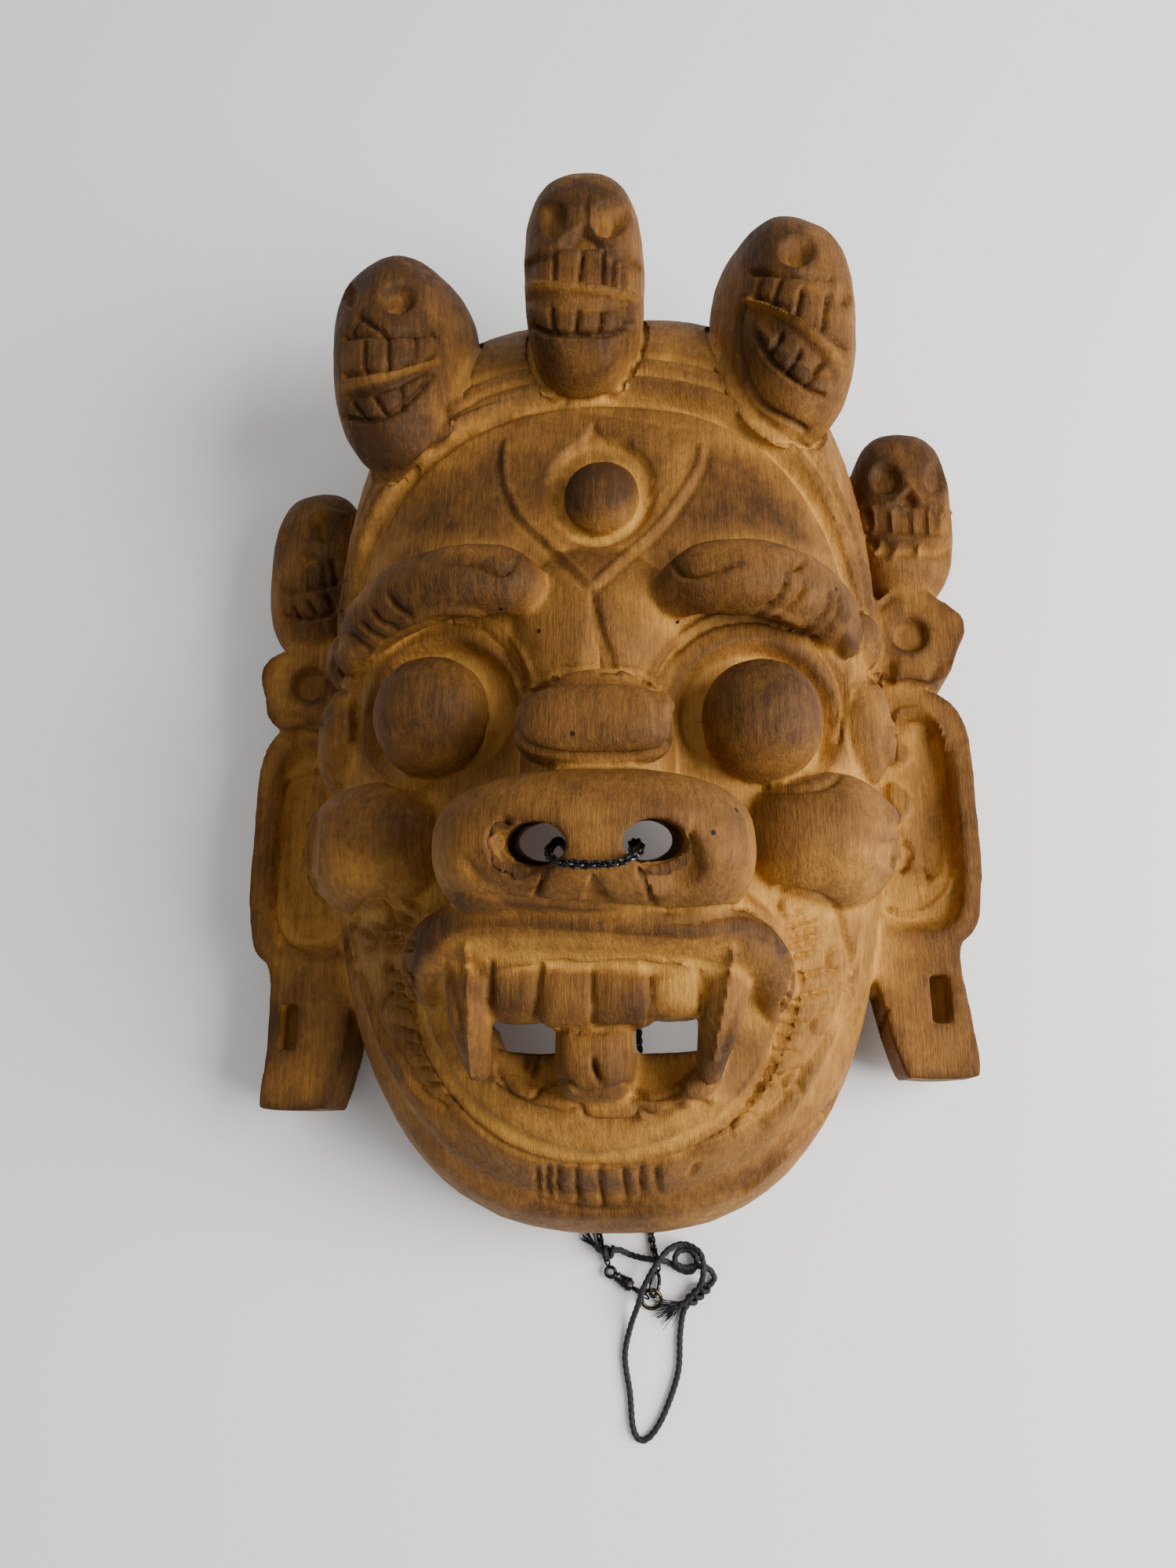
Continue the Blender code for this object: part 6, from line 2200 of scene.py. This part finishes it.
def wire_loop(frame: Matrix, half_long: float, half_wide: float, wire: float,
              steps: int = 32, sides: int = 10) -> bmesh.types.BMesh:
    """Make a closed oval of wire, long along its frame's X.

    Args:
        frame: Where it lies.
        half_long: Half its length along the frame's X.
        half_wide: Half its width.
        wire: The wire's thickness.
        steps: Points round the loop.
        sides: Points round the wire.

    Returns:
        The bmesh, in millimetres.
    """
    rim = []
    for step in range(steps):
        turn = math.tau * step / steps
        rim.append(frame @ Vector((half_long * math.cos(turn), half_wide * math.sin(turn), 0)))
    normal = frame.to_3x3() @ Vector((0, 0, 1))
    return bar(rim, (wire, wire), (wire, wire), sides=sides, up=normal, closed=True)


@dataclass
class Clasp:
    """The swivel clasp with its eye, collar and hook, and the two links beside it."""

    eye: tuple[float, float, float] = (-1.2, -172.6, 1.9)
    end: tuple[float, float, float] = (7.0, -177.8, 2.05)
    ring: tuple[float, float, float] = (11.0, -180.0, 1.65)
    oval: tuple[float, float, float] = (12.1, -175.9, 2.5)
    wire: float = 1.15
    ring_radius: float = 2.9
    eye_loop: tuple[float, float] = (1.5, 1.4)
    hook_loop: tuple[float, float] = (2.7, 1.55)
    oval_loop: tuple[float, float] = (3.4, 1.8)
    barrel: tuple[float, ...] = (1.1, 1.9, 2.1, 2.5, 2.7, 5.6, 5.8, 6.3, 6.5, 7.6)
    barrel_widths: tuple[float, ...] = (2.2, 2.4, 3.1, 3.1, 2.7, 3.9, 4.3, 4.3, 3.8, 3.0)
    barrel_flat: float = 0.86

    def build_clasp(self, finish: Finish) -> bpy.types.Object:
        """Join the turned barrel, its collars, the eye and the hook.

        Args:
            finish: The clasp's finish.

        Returns:
            The clasp.
        """
        eye, end = Vector(self.eye), Vector(self.end)
        along = (end - eye).normalized()
        yaw = math.degrees(math.atan2(along.y, along.x))
        parts = [wire_loop(pose(eye - along * 0.2, (0, 0, yaw)), *self.eye_loop, self.wire)]
        places = np.linspace(self.barrel[0], self.barrel[-1], 27)
        line = [eye + along * float(place) for place in places]
        widths = np.interp(places, self.barrel, self.barrel_widths)
        parts.append(bar(line, widths, widths * self.barrel_flat, sides=28))
        parts.append(wire_loop(pose(end + along * 0.8, (90, 0, yaw)), *self.hook_loop, self.wire))
        joined = bmesh.new()
        for part in parts:
            join_part(joined, part)
        clasp = finished_object("clasp_body", joined, finish.material)
        return dress(clasp, "lobster_clasp")

    def build_links(self, black: Finish, brass: Finish) -> None:
        """Make the round link and the oval link.

        Args:
            black: The oval link's finish.
            brass: The round link's finish.
        """
        tilt = pose(self.ring, (18, 0, 0))
        turned = wire_loop(tilt, self.ring_radius, self.ring_radius, self.wire)
        ring = finished_object("round_link_ring", turned, brass.material)
        dress(ring, "round_link")
        lean = pose(self.oval, (0, 0, 80)) @ pose((0, 0, 0), (48, 0, 0))
        oval = finished_object("oval_link_ring", wire_loop(lean, *self.oval_loop, self.wire), black.material)
        dress(oval, "oval_link")


# The studio


@dataclass
class Studio:
    """A pale floor under soft light from the upper right."""

    floor_half: float = 2.0
    floor_colour: Point = (0.86, 0.872, 0.885)
    sky_colour: Point = (1.0, 0.985, 0.965)
    sky_strength: float = 0.46
    lamps: tuple[tuple[str, Point, Point, float, float, Point], ...] = (
        ("window", (0.88, -0.16, 0.68), (0, 0, 0.03), 0.8, 30.0, (1.0, 0.985, 0.96)),
        ("bounce", (-0.5, 0.7, 1.1), (0, 0.1, 0.0), 1.2, 2.5, (1.0, 0.98, 0.95)),
    )
    glows: tuple[tuple[Point, float], ...] = (
        ((0.034, -0.012, 0.030), 0.018), ((0.020, -0.100, 0.030), 0.014),
    )
    glow_size: float = 0.012

    def build_floor(self) -> bpy.types.Object:
        """Lay the pale floor.

        Returns:
            The floor.
        """
        bm = bmesh.new()
        bmesh.ops.create_grid(bm, x_segments=2, y_segments=2, size=self.floor_half)
        mesh = bpy.data.meshes.new("floor")
        bm.to_mesh(mesh)
        bm.free()
        floor = add_object("floor", mesh)
        material = bpy.data.materials.new("pale_floor")
        material.use_nodes = True
        shader = material.node_tree.nodes["Principled BSDF"]
        shader.inputs["Base Color"].default_value = (*self.floor_colour, 1.0)
        shader.inputs["Roughness"].default_value = 0.7
        shader.inputs["Specular IOR Level"].default_value = 0.2
        mesh.materials.append(material)
        return floor

    def add_area(self, name: str, place: Point, aim: Point, size: float, power: float, colour: Point) -> None:
        """Add a soft square light that looks at a point.

        Args:
            name: The light's name.
            place: Where it hangs, in metres.
            aim: The point that it looks at.
            size: The length of its side.
            power: Its power in watts.
            colour: Its colour.
        """
        data = bpy.data.lights.new(name, "AREA")
        data.size = size
        data.energy = power
        data.color = colour
        lamp = add_object(name, data)
        lamp.location = place
        lamp.rotation_euler = (Vector(place) - Vector(aim)).to_track_quat("Z", "Y").to_euler()

    def add_inner_glows(self) -> None:
        """Add the faint light that reaches the floor inside the hollow, seen through nose and mouth."""
        for place, power in self.glows:
            data = bpy.data.lights.new("inner_glow", "POINT")
            data.energy = power
            data.shadow_soft_size = self.glow_size
            lamp = add_object("inner_glow", data)
            lamp.location = place
            lamp.visible_camera = False

    def build(self) -> None:
        """Light the floor."""
        self.build_floor()
        world = bpy.data.worlds.new("soft_room")
        bpy.context.scene.world = world
        world.use_nodes = True
        sky = world.node_tree.nodes["Background"]
        sky.inputs["Color"].default_value = (*self.sky_colour, 1.0)
        sky.inputs["Strength"].default_value = self.sky_strength
        for lamp in self.lamps:
            self.add_area(*lamp)
        self.add_inner_glows()


def main() -> None:
    """Build the pieces in order."""
    logging.basicConfig(level=logging.INFO, format="%(name)s %(message)s")
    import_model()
    VIEW.add_camera()
    Studio().build()
    finishes = {slot: slot.value() for slot in Slot}
    NoseChain().build(finishes[Slot.BLACK])
    HangingWire().build(finishes[Slot.STRAND])
    clasp = Clasp()
    clasp.build_clasp(finishes[Slot.BLACK])
    clasp.build_links(finishes[Slot.BLACK], finishes[Slot.BRASS])
    Mask().build(finishes[Slot.WOOD])


if __name__ == "__main__":
    main()
